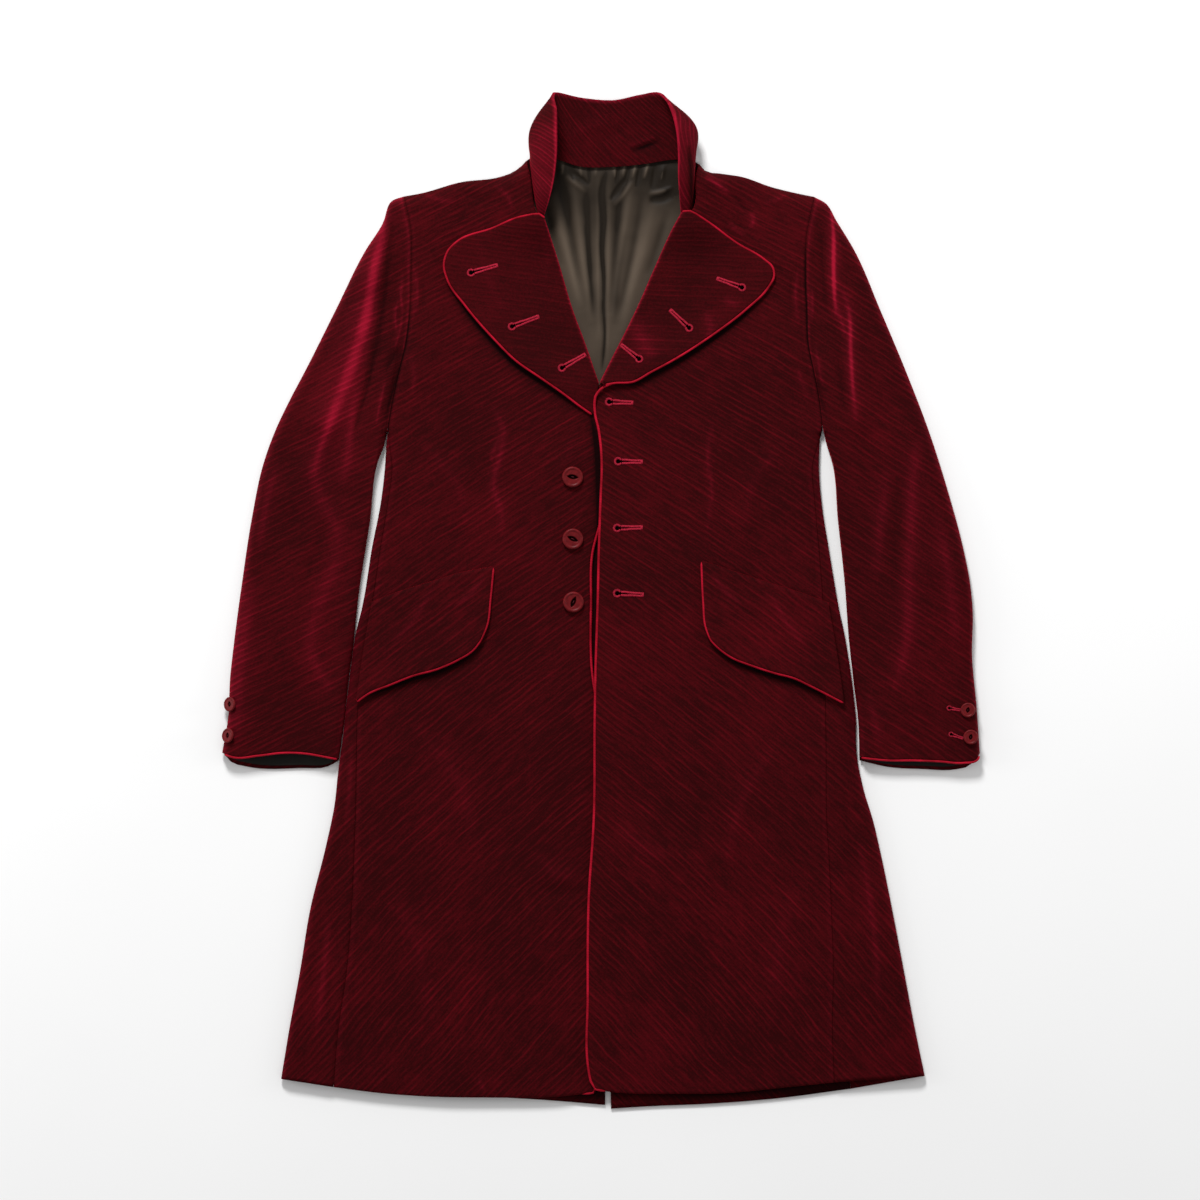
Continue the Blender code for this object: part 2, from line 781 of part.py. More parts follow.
def cuff_lining(side, look):
    """The strip of lining that shows inside a cuff, on the under sleeve."""
    v = np.array([0.94, 0.967, 0.993])
    plan, _, _ = sleeve_plan(side, CUFF_UNDER, v, 7, [7.0])
    height = np.full(plan.shape[:2], SLEEVE_WALL + 0.4)
    points = np.concatenate([plan, height[..., None]], axis=-1)
    return sheet(f"cuff_lining_{side}", points, look, CUFF_LINING_WALL, 1.0, flip=side == "right")


def lapel(side, under, look):
    """A lapel on its front, its inner edge rolled down round the front's edge."""
    near = curve(LAPEL_ROLL_LINE[side])
    far = curve(LAPEL_EDGE[side])
    low = curve([LAPEL_ROLL_LINE[side][0], LAPEL_EDGE[side][0]])
    high = curve([LAPEL_ROLL_LINE[side][-1], LAPEL_EDGE[side][-1]])
    v = np.linspace(0.0, 1.0, LAPEL_ROWS)
    u, v, width = shares(v, near, far, 4, [0.0, 0.5, 1.8, 4.2], [0.0])
    plan = patch(low, high, near, far, u, v)
    x = plan[..., 0]
    y = plan[..., 1]
    drop = LAPEL_DROP * (1.0 - rounded(u * width[:, None], LAPEL_ROLL))
    height = laid(under, x, y, side) + LAY_GAP + WALL - drop
    points = np.stack([x, y, height], axis=-1)
    return sheet(f"lapel_{side}", points, look, WALL, -1.0, flip=side == "right")


def flap(side, under, look):
    """A slanted pocket flap on its front, a little clear of it along the lower edge."""
    low = curve(FLAP_FRONT[side])
    high = curve(FLAP_END[side])
    v = np.repeat(np.linspace(0.0, 1.0, 9)[:, None], 6, axis=1)
    u = np.repeat(np.linspace(0.0, 1.0, 6)[None, :], 9, axis=0)
    plan = patch(low, high, curve(FLAP_TOP[side]), curve(FLAP_LOW[side]), u, v)
    x = plan[..., 0]
    y = plan[..., 1]
    height = laid(under, x, y, side) + LAY_GAP + FLAP_WALL + FLAP_LIFT * u**2
    points = np.stack([x, y, height], axis=-1)
    return sheet(f"flap_{side}", points, look, FLAP_WALL, -1.0, flip=side == "left")


def collar(look):
    """The standing collar, its back on the surface and its ends folded over the neck."""
    rows = np.array(COLLAR, float)
    keys = np.arange(len(rows), dtype=float)
    stations = hermite(keys, rows, np.linspace(0.0, keys[-1], 35))
    across = np.linspace(0.0, 1.0, 6)[None, :, None]
    base = stations[:, None, 0:3]
    rim = stations[:, None, 3:6]
    belly = stations[:, None, 6:9]
    points = base + (rim - base) * across + belly * np.sin(math.pi * across)
    return sheet("collar", points, look, COLLAR_WALL, 0.0)


def lining(look):
    """The back lining under the open neck."""
    v = np.linspace(0.0, 1.0, 11)
    near = curve(LINING_SIDE["right"])
    far = curve(LINING_SIDE["left"])
    u, v, _ = shares(v, near, far, 7, [0.0], [0.0])
    plan = patch(curve(LINING_LOW), curve(LINING_NECK), near, far, u, v)
    height = np.full(plan.shape[:2], WALL + 0.4)
    points = np.concatenate([plan, height[..., None]], axis=-1)
    return sheet("lining_back", points, look, LINING_WALL, 1.0)


def front_piping(side, look):
    """The cord on a front's edge, from the hem to the break."""
    edge = rising_curve(FRONT_EDGE[side])
    v = front_rows()
    v = v[v <= BREAK_SHARE[side]]
    plan = moved_out(edge(v), -SIGN[side] * (PIPING_RADIUS + PIPING_GAP))
    rim = edge(v)
    height = body_top(rim[:, 0], rim[:, 1], side) - WALL / 2
    return cord(f"piping_front_{side}", np.column_stack([plan, height]), look)


def lapel_piping(side, under, look):
    """The cord round a lapel's free edge."""
    rim = curve(LAPEL_EDGE[side])(np.linspace(0.0, 1.0, 2 * LAPEL_ROWS - 1)[1:-1])
    plan = moved_out(rim, SIGN[side] * (PIPING_RADIUS + PIPING_GAP))
    height = laid(under, rim[:, 0], rim[:, 1], side) + LAY_GAP + WALL / 2
    return cord(f"piping_lapel_{side}", np.column_stack([plan, height]), look)


def flap_piping(side, under, look):
    """The cord on a flap's front end and lower edge."""
    front_end = np.linspace(0.03, 0.97, 5)
    lower = np.linspace(0.02, 0.99, 12)
    rim = np.concatenate([curve(FLAP_FRONT[side])(front_end), curve(FLAP_LOW[side])(lower)])
    plan = moved_out(rim, SIGN[side] * (PIPING_RADIUS + PIPING_GAP))
    lift = FLAP_LIFT * np.concatenate([front_end**2, np.ones(12)])
    height = laid(under, rim[:, 0], rim[:, 1], side) + LAY_GAP + FLAP_WALL / 2 + lift
    return cord(f"piping_flap_{side}", np.column_stack([plan, height]), look)


def cuff_piping(side, look):
    """The cord on the upper sleeve's end."""
    share = np.linspace(0.08, 0.98, 13)
    rim = curve(CUFF_TOP[side])(share)
    plan = moved_out(rim, -SIGN[side] * (PIPING_RADIUS + PIPING_GAP))
    width = np.linalg.norm(rim[-1] - rim[0])
    roll = rounded(share * width, BODY_ROLL) * rounded((1.0 - share) * width, BODY_ROLL)
    seam = SEAM_HEIGHT + SEAM_SPLIT
    height = seam + (SLEEVE_TOP - seam) * roll - SLEEVE_WALL / 2
    return cord(f"piping_cuff_{side}", np.column_stack([plan, height]), look)


def holes(name, radius, fish_eye):
    """Two thread holes, and the long hollow that they stand in."""
    shape = bmesh.new()
    for sign in (-1.0, 1.0):
        drill = Matrix.Translation((sign * HOLE_OFFSET * radius * MM, 0.0, 0.0))
        size = HOLE_SHARE * radius * MM
        bmesh.ops.create_cone(
            shape, cap_ends=True, segments=8, radius1=size, radius2=size, depth=radius * MM, matrix=drill
        )
    cutters = [shape]
    if fish_eye:
        hollow = bmesh.new()
        place = Matrix.Translation((0.0, 0.0, FACE_HEIGHT * radius * MM))
        scale = Matrix.Diagonal((0.5, 0.2, 0.14, 1.0))
        bmesh.ops.create_uvsphere(
            hollow, u_segments=12, v_segments=6, radius=radius * MM, matrix=place @ scale
        )
        cutters.append(hollow)
    made = []
    for number, cutter in enumerate(cutters, start=1):
        mesh = bpy.data.meshes.new(f"{name}_cutter_{number}")
        cutter.to_mesh(mesh)
        cutter.free()
        tool = bpy.data.objects.new(mesh.name, mesh)
        tool.hide_render = True
        tool.display_type = "WIRE"
        bpy.data.collections["Cutters"].objects.link(tool)
        made.append(tool)
    return made


def button(name, radius, under, toward, fish_eye, look):
    """A round button with a raised rim, on the spot of the cloth nearest to a point."""
    face = FACE_HEIGHT
    profile = [(0.0, 0.0), (0.84, 0.0), (1.0, 0.14), (0.97, 0.32), (0.84, 0.38), (0.7, face), (0.0, face)]
    mesh = bpy.data.meshes.new(name)
    outline = [(share * radius * MM, 0.0, height * radius * MM) for share, height in profile]
    mesh.from_pydata(outline, [(i, i + 1) for i in range(len(outline) - 1)], [])
    made = add(name, mesh, look)
    turned = made.modifiers.new("Turned", "SCREW")
    turned.steps = BUTTON_SIDES
    turned.render_steps = BUTTON_SIDES
    turned.use_merge_vertices = True
    turned.merge_threshold = 0.00001
    turned.use_normal_calculate = True
    *place, turn = toward
    spot, facing, _, _ = under.find_nearest(Vector(place))
    pose = Matrix.Translation((spot + facing * BUTTON_GAP) * MM)
    pose = pose @ facing.to_track_quat("Z", "Y").to_matrix().to_4x4()
    pose = pose @ Matrix.Rotation(math.radians(turn), 4, "Z")
    made.matrix_world = pose
    for tool in holes(name, radius, fish_eye):
        tool.matrix_world = pose
        cut = made.modifiers.new(tool.name, "BOOLEAN")
        cut.operation = "DIFFERENCE"
        cut.solver = "EXACT"
        cut.object = tool
    return made


def buttons(fronts, sleeves, look):
    """Three buttons on the right front and two at each cuff."""
    for number, toward in enumerate(FRONT_BUTTONS, start=1):
        button(f"button_front_{number}", FRONT_BUTTON_RADIUS, fronts["right"], toward, True, look)
    for side, rows in CUFF_BUTTONS.items():
        for number, toward in enumerate(rows, start=1):
            name = f"button_cuff_{side}_{number}"
            button(name, CUFF_BUTTON_RADIUS, sleeves[side], toward, False, look)


def clear():
    for thing in list(bpy.data.objects):
        bpy.data.objects.remove(thing, do_unlink=True)


def main():
    clear()
    coat = bpy.data.collections.new("Frock coat")
    bpy.context.scene.collection.children.link(coat)
    cutters = bpy.data.collections.new("Cutters")
    bpy.context.scene.collection.children.link(cutters)
    velvet = material("velvet", (0.105, 0.011, 0.018), 0.85)
    satin = material("lining satin", (0.12, 0.095, 0.078), 0.45)
    trim = material("piping", (0.32, 0.014, 0.04), 0.6)
    horn = material("button", (0.19, 0.05, 0.055), 0.35)
    fronts = {}
    sleeves = {}
    for side in SIGN:
        back(side, velvet)
        sleeve_under(side, velvet)
        cuff_lining(side, satin)
        fronts[side] = skin([front(side, velvet), side_piece(side, velvet)])
        sleeves[side] = skin(sleeve_upper(side, velvet))
        lapel(side, fronts[side], velvet)
        flap(side, fronts[side], velvet)
        front_piping(side, trim)
        lapel_piping(side, fronts[side], trim)
        flap_piping(side, fronts[side], trim)
        cuff_piping(side, trim)
    collar(velvet)
    lining(satin)
    buttons(fronts, sleeves, horn)


main()
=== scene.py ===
"""The frock coat with its cloth: corded velvet, satin lining, piping, buttons and buttonholes.

+Y runs from the hem to the collar and +Z away from the surface that the coat lies on. Left and
right are the wearer's, so the left front is at +X. Sizes in the tables are millimetres.
"""

import math

import bpy
import numpy as np
from mathutils import Matrix, Vector
from mathutils.bvhtree import BVHTree


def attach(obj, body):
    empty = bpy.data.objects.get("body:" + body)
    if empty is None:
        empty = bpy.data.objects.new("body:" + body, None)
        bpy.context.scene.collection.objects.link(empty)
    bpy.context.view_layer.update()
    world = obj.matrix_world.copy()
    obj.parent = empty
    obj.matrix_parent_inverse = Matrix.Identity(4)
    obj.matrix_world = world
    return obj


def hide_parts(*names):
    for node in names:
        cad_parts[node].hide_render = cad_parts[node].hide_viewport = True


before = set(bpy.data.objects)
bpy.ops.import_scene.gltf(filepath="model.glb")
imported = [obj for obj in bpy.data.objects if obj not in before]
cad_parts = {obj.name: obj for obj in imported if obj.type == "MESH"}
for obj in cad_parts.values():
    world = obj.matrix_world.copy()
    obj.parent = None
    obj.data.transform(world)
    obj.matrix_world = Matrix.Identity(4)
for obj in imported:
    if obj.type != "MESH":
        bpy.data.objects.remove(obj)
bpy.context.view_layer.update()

MM = 0.001

# Thickness of the cloth in each kind of panel
WALL = 2.2
SIDE_WALL = 2.4
SLEEVE_WALL = 2.0
FLAP_WALL = 1.9
LINING_WALL = 1.0
COLLAR_WALL = 2.8

# Heights: cloth over the body, the sleeves and in the lining, and the low ends of the upper
# layer's rolled edges and the high ends of the lower layer's
BODY_TOP = 9.0
SLEEVE_TOP = 13.0
LINING_TOP = 4.4
UPPER_SEAM = 4.3
LOWER_SEAM = 3.9

# How far lapels and flaps lie above the front, and how much more a flap's lower edge does
LAPEL_LIFT = 3.4
FLAP_TOP_LIFT = 3.0
FLAP_LIFT = 2.4

# Radius of round edges: side folds, shoulder, lower layer, lapel's roll, finished edges
BODY_ROLL = 10.0
SHOULDER_ROLL = 13.0
UNDER_ROLL = 4.0
LAPEL_ROLL = 4.0
EDGE_ROUND = 1.5

# Lapels: drop at the roll, and how far the free edge stands off, more low down, and how far in
LAPEL_DROP = 5.4
LAPEL_STAND = 1.0
LAPEL_STAND_LOW = 1.6
LAPEL_STAND_WIDTH = 30.0

# Step by which the left front rises and the right one sinks at their edges, and its extent
EDGE_STEP = 1.8
EDGE_STEP_WIDTH = 40.0
EDGE_STEP_TOP = 260.0
EDGE_STEP_FADE = 60.0

# Gaps beside a seam's line: body seams, armhole, and what the underarm adds to that
SEAM_GAP = 0.12
ARMHOLE_GAP = -0.1
UNDERARM_GAP = 0.7

# Rough lengths that turn shares of a panel into millimetres
SLEEVE_LENGTH = 640.0
FRONT_LENGTH = 960.0
FLAP_WIDTH = 95.0
FLAP_LENGTH = 150.0

# Length over which a sleeve goes from the body's form to its own
SLEEVE_BLEND = 70.0

# Height of the underarm, share of the outer seam at which the side piece ends, its taper there
UNDERARM = 176.0
SIDE_SHARE = 0.733
SIDE_TAPER = 13.0

# Side seams start this far above the hem's end and run into the armhole above this height
HEM_CLEAR = 15.0
SEAM_TOP = 150.0

# Where sleeves and sides lie against each other: reach of each, upper end and lower end
TOUCH = 0.95
TOUCH_TOP = -8.0
TOUCH_LOW = -150.0

# Collar: how far its back laps over the neck seam, and its lowest height
COLLAR_LAP = 4.0
COLLAR_LOW = 5.4

# Lining: tuck under the collar, and how deep and how high its folds go at most
LINING_TUCK = 5.0
LINING_DIP = 1.5
LINING_RISE = 3.0

# Cords: the one on front edges and flaps, the thinner one on lapels and cuffs, and how far the
# middle of each lies below the cloth's top and outside its edge
PIPING_RADIUS = 1.35
TRIM_RADIUS = 1.15
CORD_SINK = {"front": 1.3, "lapel": 1.1, "flap": 0.3, "cuff": 1.2}
CORD_OUT = {"front": 1.0, "lapel": 0.9, "flap": 1.4, "cuff": 0.9}

# Distance between ribs
RIB_PITCH = 5.6
LAPEL_RIB_PITCH = 4.8
COLLAR_RIB_PITCH = 4.2

# How far the ribs are turned in degrees, on the body less towards the shoulder
BODY_RIB_TURN = 34.0
BODY_RIB_CHANGE = 6.0
SLEEVE_RIB_TURN = {"right": 27.0, "left": 33.0}
UNDER_RIB_TURN = 30.0
LAPEL_RIB_TURN = {"right": -8.0, "left": 2.0}
COLLAR_RIB_TURN = 46.0

# Close rows of points where an edge turns or a panel ends, as shares of its length
HEM_ROWS = [0.0, 0.0003, 0.0009, 0.0018]
SHOULDER_ROWS = [0.9875, 0.989, 0.9905, 0.992, 0.9935, 0.995, 0.9963, 0.9975]
SHOULDER_ROWS += [0.9985, 0.9992, 0.9997, 0.99993, 1.0]
BACK_ROLL_ROWS = [0.985, 0.99, 0.9936, 0.9957, 0.997, 0.9978, 0.9987, 0.9994, 0.9998, 0.99997, 1.0]
ARMHOLE_ROWS = [0.0, 0.0006, 0.0016, 0.003]
CUFF_ROWS = [0.9975, 0.9988, 0.9996, 1.0]

# Close columns along a sleeve's sides, in millimetres from each
SLEEVE_EDGE_STEPS = [0.0, 0.06, 0.3, 0.8, 1.6, 2.7, 4.2, 6.0, 8.0, 10.5]

# How finely the collar, the round pieces and the stitches are divided
COLLAR_STATIONS = 230
COLLAR_ROWS = 34
CORD_SIDES = 12
THREAD_SIDES = 6
BUTTON_SIDES = 64
BUTTON_RINGS = 34

# Half a button's section, from the foot round the rim: share of the radius, share of the height
BUTTON_PROFILE = [(0.6, 0.0), (0.84, 0.06), (0.95, 0.22), (1.0, 0.45), (0.985, 0.7), (0.93, 0.9)]
BUTTON_PROFILE += [(0.86, 1.0), (0.8, 0.98), (0.74, 0.88), (0.68, 0.8)]
DISH_FLOOR = 0.29
EYE_SIZE = {"front": (0.62, 0.27), "cuff": (0.44, 0.3)}

# Stitches of a buttonhole of size 1
STITCH_PITCH = 0.62
STITCH_BITE = 2.2
STITCH_ARCH = (-0.15, 0.35, 0.55, 0.35, -0.15)
EYELET_SIZE = 3.3

# Colours: the dark and the light end of each material, and the velvet's painted highlight (which also stands
# for rubbed pile) and painted shade
PILE_DARK = (0.0245, 0.0016, 0.0022)
PILE_LIGHT = (0.125, 0.0026, 0.0066)
PILE_RUBBED_AND_HIGHLIGHT = (0.28, 0.006, 0.021)
PILE_PAINTED_SHADE = (0.006, 0.001, 0.0012)
SHEEN = (0.85, 0.008, 0.03)
LINING_DARK = (0.012, 0.0082, 0.0052)
LINING_LIGHT = (0.108, 0.08, 0.0575)
# The lining again, much darker, as painted shade inside the cuffs
CUFF_LINING_SHADE_DARK = (0.006, 0.006, 0.005)
CUFF_LINING_SHADE_LIGHT = (0.016, 0.014, 0.012)
CORD_DARK = (0.19, 0.001, 0.007)
CORD_LIGHT = (0.4, 0.004, 0.02)
RESIN_DARK = (0.08, 0.004, 0.0055)
RESIN_LIGHT = (0.145, 0.0075, 0.0095)
HOLLOW_SHADE = (0.004, 0.001, 0.001)
SILK_DARK = (0.22, 0.005, 0.017)
SILK_LIGHT = (0.44, 0.012, 0.038)
THREAD_DARK = (0.03, 0.004, 0.006)
THREAD_LIGHT = (0.09, 0.008, 0.012)
# Painted shadow in the open slit and eyelet of each buttonhole
SLIT_SHADOW_DARK = (0.0006, 0.0003, 0.0003)
SLIT_SHADOW_LIGHT = (0.0012, 0.0004, 0.0005)
PAPER_DARK = (0.86, 0.86, 0.86)
PAPER_LIGHT = (0.9, 0.9, 0.9)

# Lights: name, place in metres, size in metres, power in watts
LIGHTS = [
    ("key", (-0.7, 3.2, 2.4), 0.9, 165.0),
    ("low left", (-2.4, 0.1, 0.7), 0.9, 14.0),
    ("low right", (2.4, 0.3, 0.7), 0.9, 14.0),
]
ROOM_LIGHT = 0.45
FLOOR_REACH = 30000.0

# Camera straight above, far off, so that nothing leans
CAMERA_HEIGHT = 10.0
FRAME_WIDTH = 1.26
FRAME_CENTRE = (-0.00105, 0.000525)
SENSOR = 36.0

SIGN = {"right": -1.0, "left": 1.0}

# Columns of BODY_SIDE that hold the seam of a front and of a back
FRONT_SEAM_COLUMN = 2
BACK_SEAM_COLUMN = 3

# Side fold of the body and the seams of its side piece: y, fold x, front seam x, back seam x
BODY_SIDE = {
    "right": [
        (-502, -336.0, -281.0, -270.0),
        (-451, -327.6, -276.0, -262.0),
        (-388, -316.0, -267.0, -252.0),
        (-325, -305.6, -262.0, -246.0),
        (-258, -289.0, -259.0, -242.0),
        (-215, -280.0, -257.5, -240.0),
        (-178, -276.0, -257.0, -238.0),
        (-126, -268.5, -256.0, -236.0),
        (-84, -263.5, -253.0, -233.0),
        (-42, -258.0, -247.0, -230.0),
        (8, -248.0, -238.5, -226.0),
        (53, -241.0, -232.0, -222.0),
        (105, -231.0, -223.5, -218.0),
        (140, -227.0, -219.5, -215.0),
        (170, -225.5, -218.5, -214.0),
    ],
    "left": [
        (-499, 340.0, 245.0, 262.0),
        (-451, 330.0, 243.0, 258.0),
        (-388, 318.0, 244.0, 254.0),
        (-325, 306.0, 242.0, 250.0),
        (-262, 293.0, 239.0, 246.0),
        (-230, 285.5, 237.0, 243.0),
        (-199, 276.0, 236.5, 240.0),
        (-164, 269.0, 236.5, 237.0),
        (-126, 267.0, 236.0, 235.0),
        (-84, 262.5, 235.5, 232.0),
        (-42, 256.0, 234.5, 229.0),
        (8, 247.0, 232.5, 226.0),
        (53, 239.5, 229.0, 222.0),
        (105, 231.5, 224.5, 219.0),
        (140, 229.0, 222.0, 217.0),
        (170, 230.0, 222.5, 217.0),
    ],
}

# Armhole seam, from the underarm to the shoulder tip: x, y
ARMHOLE = {
    "right": [
        (-224.0, 178), (-220.5, 202), (-213.0, 237), (-205.0, 270), (-200.5, 305), (-199.5, 342),
        (-200.0, 392), (-207.0, 424.5),
    ],
    "left": [
        (232.5, 182), (229.0, 213), (223.5, 241), (217.5, 270), (216.0, 305), (214.5, 341),
        (216.0, 385), (224.0, 424),
    ],
}

# Shoulder fold, from the tip to the neck: x, y
SHOULDER = {
    "right": [
        (-207.0, 424.5), (-190.0, 427.5), (-147.0, 439.5), (-106.0, 445.0), (-94.5, 449.0),
        (-83.0, 457.0), (-78.5, 462.0),
    ],
    "left": [
        (224.0, 424), (209.0, 427), (178.5, 434.5), (148.0, 445), (125.0, 448.5), (110.0, 451),
        (102.5, 459),
    ],
}

# Inner edge of each front: hem, front edge, break, under the lapel's roll, neckline: x, y
FRONT_EDGE = {
    "right": [
        (-6.0, -517), (-9.0, -416), (-8.5, -314), (-3.0, -230), (-3.0, -130), (-11.0, -68), (-11.5, 0),
        (-10.5, 47), (1.0, 95), (4.0, 140), (-1.0, 185), (-11.0, 231), (-22.5, 270), (-35.0, 304),
        (-51.0, 357), (-64.5, 398), (-69.0, 411), (-74.5, 446), (-78.5, 462),
    ],
    "left": [
        (-8.0, -513), (-12.0, -493), (-12.8, -416), (-11.8, -314), (-6.5, -230), (-5.5, -124),
        (-4.5, -68), (-2.3, 0), (-1.3, 47), (0.9, 112), (1.9, 140), (0.9, 162), (-1.5, 180),
        (-5.3, 197), (-5.4, 211), (-3.4, 220), (-0.9, 228), (16.0, 252), (31.5, 282), (44.5, 308),
        (60.0, 344), (82.5, 393), (96.5, 411), (99.5, 446), (102.5, 459),
    ],
}

# Share of a front's height at which its cord leaves the edge, and the left cord's turn from
# there on to the lapel: x, y
BREAK_SHARE = {"right": 0.72, "left": 0.748}
BREAK_JOIN = [(-4.0, 217.6), (-1.0, 221.2), (3.2, 224.4), (8.2, 226.6), (13.0, 227.8)]

# Hem of the fronts and of the back, from the middle to the side: x, y
FRONT_HEM = {
    "right": [(-6.0, -517), (-47.0, -521), (-124.0, -522), (-180.0, -521), (-235.0, -517), (-281.0, -511)],
    "left": [(-8.0, -513), (3.0, -515), (79.0, -518), (135.5, -517), (186.0, -512), (245.0, -506)],
}
BACK_HEM = {
    "right": [(4.3, -530), (-49.0, -525.5), (-124.0, -521), (-200.0, -516), (-270.0, -510)],
    "left": [(10.5, -533.9), (59.0, -531), (109.0, -529), (186.0, -523), (262.0, -513)],
}
SIDE_FOLD_HEM = {"right": -502.5, "left": -499.5}

# Centre seam of the back, which opens into a vent at the hem: y, seam x, half the opening
BACK_SEAM = [
    (-533.9, 7.4, 3.1),
    (-450, 7.0, 2.0),
    (-330, 6.0, 0.5),
    (-280, 5.5, 0.35),
    (0, 4.0, 0.35),
    (456.5, 3.0, 0.35),
]

# Neckline of the back, from the centre seam to the shoulder: x, y
BACK_NECK = {
    "right": [(3.0, 456.5), (-20.0, 457.0), (-46.0, 464.5), (-62.0, 467.0), (-73.0, 466.0), (-78.5, 462.0)],
    "left": [(3.0, 456.5), (30.0, 458.0), (58.0, 462.0), (80.0, 464.5), (94.0, 463.5), (102.5, 459.0)],
}

# Roll line and free edge of each lapel, from the break to the collar: x, y
LAPEL_ROLL_LINE = {
    "right": [(-2.2, 228.5), (-16.8, 271), (-29.4, 305), (-45.2, 358), (-58.8, 400)],
    "left": [(-1.5, 229), (10.5, 253), (26.3, 284), (38.9, 310), (54.6, 346), (76.7, 394), (84.0, 407)],
}
LAPEL_EDGE = {
    "right": [
        (-8.3, 195.5), (-22.0, 205), (-37.8, 217), (-63.0, 234.5), (-88.2, 252), (-112.5, 276),
        (-142.5, 311), (-160.0, 336), (-164.0, 353), (-159.5, 367), (-150.5, 376), (-113.4, 390),
        (-88.2, 400.5), (-66.0, 405),
    ],
    "left": [
        (3.0, 227), (13.6, 229), (33.6, 230.5), (51.0, 240), (76.0, 253.5), (115.0, 278.5),
        (152.5, 307), (175.0, 329.5), (180.8, 341), (179.5, 349), (170.5, 357.5), (142.0, 374.5),
        (114.5, 394.5), (94.5, 407.5),
    ],
}

# Collar stations, from the right front end round the back to the left front end:
# base x, y, z; rim x, y, z; how far the middle of the band bellies out in x, y, z
COLLAR = [
    (-65.0, 406.5, 15.5, -60.0, 402.5, 17.5, -1.0, 0, 1.0),
    (-69.5, 430, 21.5, -53.5, 423, 31.0, -3.0, 0, 2.5),
    (-72.0, 448, 19.5, -49.0, 444, 36.0, -4.0, 0, 3.0),
    (-73.5, 463, 15.0, -46.5, 468, 40.0, -7.0, 0, 3.0),
    (-72.5, 469, 9.5, -46.5, 492, 41.5, -12.0, 2, 0),
    (-69.0, 471, 5.0, -47.0, 514, 37.0, -14.0, 5, -1.0),
    (-62.0, 471, 2.2, -50.0, 529, 24.0, -9.0, 5, -2.0),
    (-46.0, 467.5, 1.7, -45.0, 533.3, 11.0, -2.0, 0, -1.5),
    (-20.0, 459.6, 1.7, -20.0, 528, 6.5, 0, 0, -0.5),
    (14.0, 459.6, 1.7, 12.0, 525.5, 5.5, 0, 0, 0),
    (45.0, 462.5, 1.7, 40.0, 531, 7.0, 0, 0, -0.5),
    (70.0, 466.5, 1.8, 58.0, 533.3, 12.0, 4.0, 0, -1.5),
    (86.0, 467.5, 3.0, 68.0, 526, 24.0, 11.0, 6, -1.0),
    (94.0, 466.5, 7.0, 74.0, 513, 35.0, 15.0, 6, 0),
    (97.0, 462, 12.5, 79.0, 493, 40.0, 9.0, 3, 2.0),
    (97.3, 449, 18.0, 81.0, 468, 39.0, 5.0, 0, 3.0),
    (96.0, 432, 21.0, 81.0, 442, 35.0, 4.0, 0, 2.5),
    (94.5, 408.5, 15.5, 83.5, 406.5, 17.5, 1.0, 0, 1.0),
]

# Back lining, where the open neck shows it: the neck seam and its two hidden sides: x, y
LINING_NECK = [
    (-62.0, 463.5), (-46.0, 461), (-20.0, 454.5), (14.0, 454.5), (45.0, 458), (70.0, 459.5),
    (82.0, 458),
]
LINING_LOW = [(-24.0, 226), (-5.0, 222), (16.0, 226)]
LINING_SIDE = {
    "right": [(-24.0, 226), (-32.0, 262), (-47.0, 310), (-62.0, 360), (-71.0, 410), (-62.0, 463.5)],
    "left": [(16.0, 226), (28.0, 262), (52.0, 310), (74.0, 355), (90.0, 405), (82.0, 458)],
}

# Sleeves lying beside the body, from the shoulder tip or the underarm to the cuff: x, y
SLEEVE_OUTER = {
    "right": [
        (-207.6, 424.5), (-220.0, 420), (-230.0, 396), (-247.8, 368), (-279.3, 305), (-310.8, 242),
        (-327.6, 210), (-342.3, 179), (-354.0, 147), (-367.5, 84), (-377.0, 21), (-385.4, -42),
        (-389.6, -80), (-392.0, -125), (-397.9, -160),
    ],
    "left": [
        (224.6, 424), (237.0, 417), (248.0, 399), (266.7, 368), (294.0, 305), (320.3, 242),
        (344.4, 179), (364.4, 116), (381.2, 53), (387.5, 21), (390.6, -10), (390.0, -60), (394.5, -110),
        (397.9, -160),
    ],
}
SLEEVE_INNER = {
    "right": [
        (-226.0, 178), (-229.5, 162), (-235.2, 147), (-243.6, 84), (-255.0, 8), (-261.2, -42),
        (-266.5, -84), (-270.8, -126), (-275.5, -166),
    ],
    "left": [
        (234.4, 182), (238.0, 165), (243.6, 147), (249.9, 84), (256.5, 21), (262.0, -42), (266.5, -84),
        (271.2, -126), (271.5, -166),
    ],
}
CUFF_TOP = {
    "right": [
        (-397.9, -160), (-384.3, -164), (-360.0, -162), (-334.0, -159), (-308.0, -160), (-291.0, -163),
        (-275.5, -166),
    ],
    "left": [
        (397.9, -160), (394.0, -167), (381.0, -169.5), (355.0, -168), (328.7, -167), (302.4, -167),
        (271.5, -164),
    ],
}

CUFF_UNDER = {
    "right": [
        (-397.0, -160), (-388.0, -170), (-372.0, -174.5), (-316.0, -176), (-286.0, -174),
        (-275.5, -168),
    ],
    "left": [(397.0, -160), (386.4, -174), (371.7, -177.5), (337.0, -177), (302.4, -175), (271.5, -168)],
}

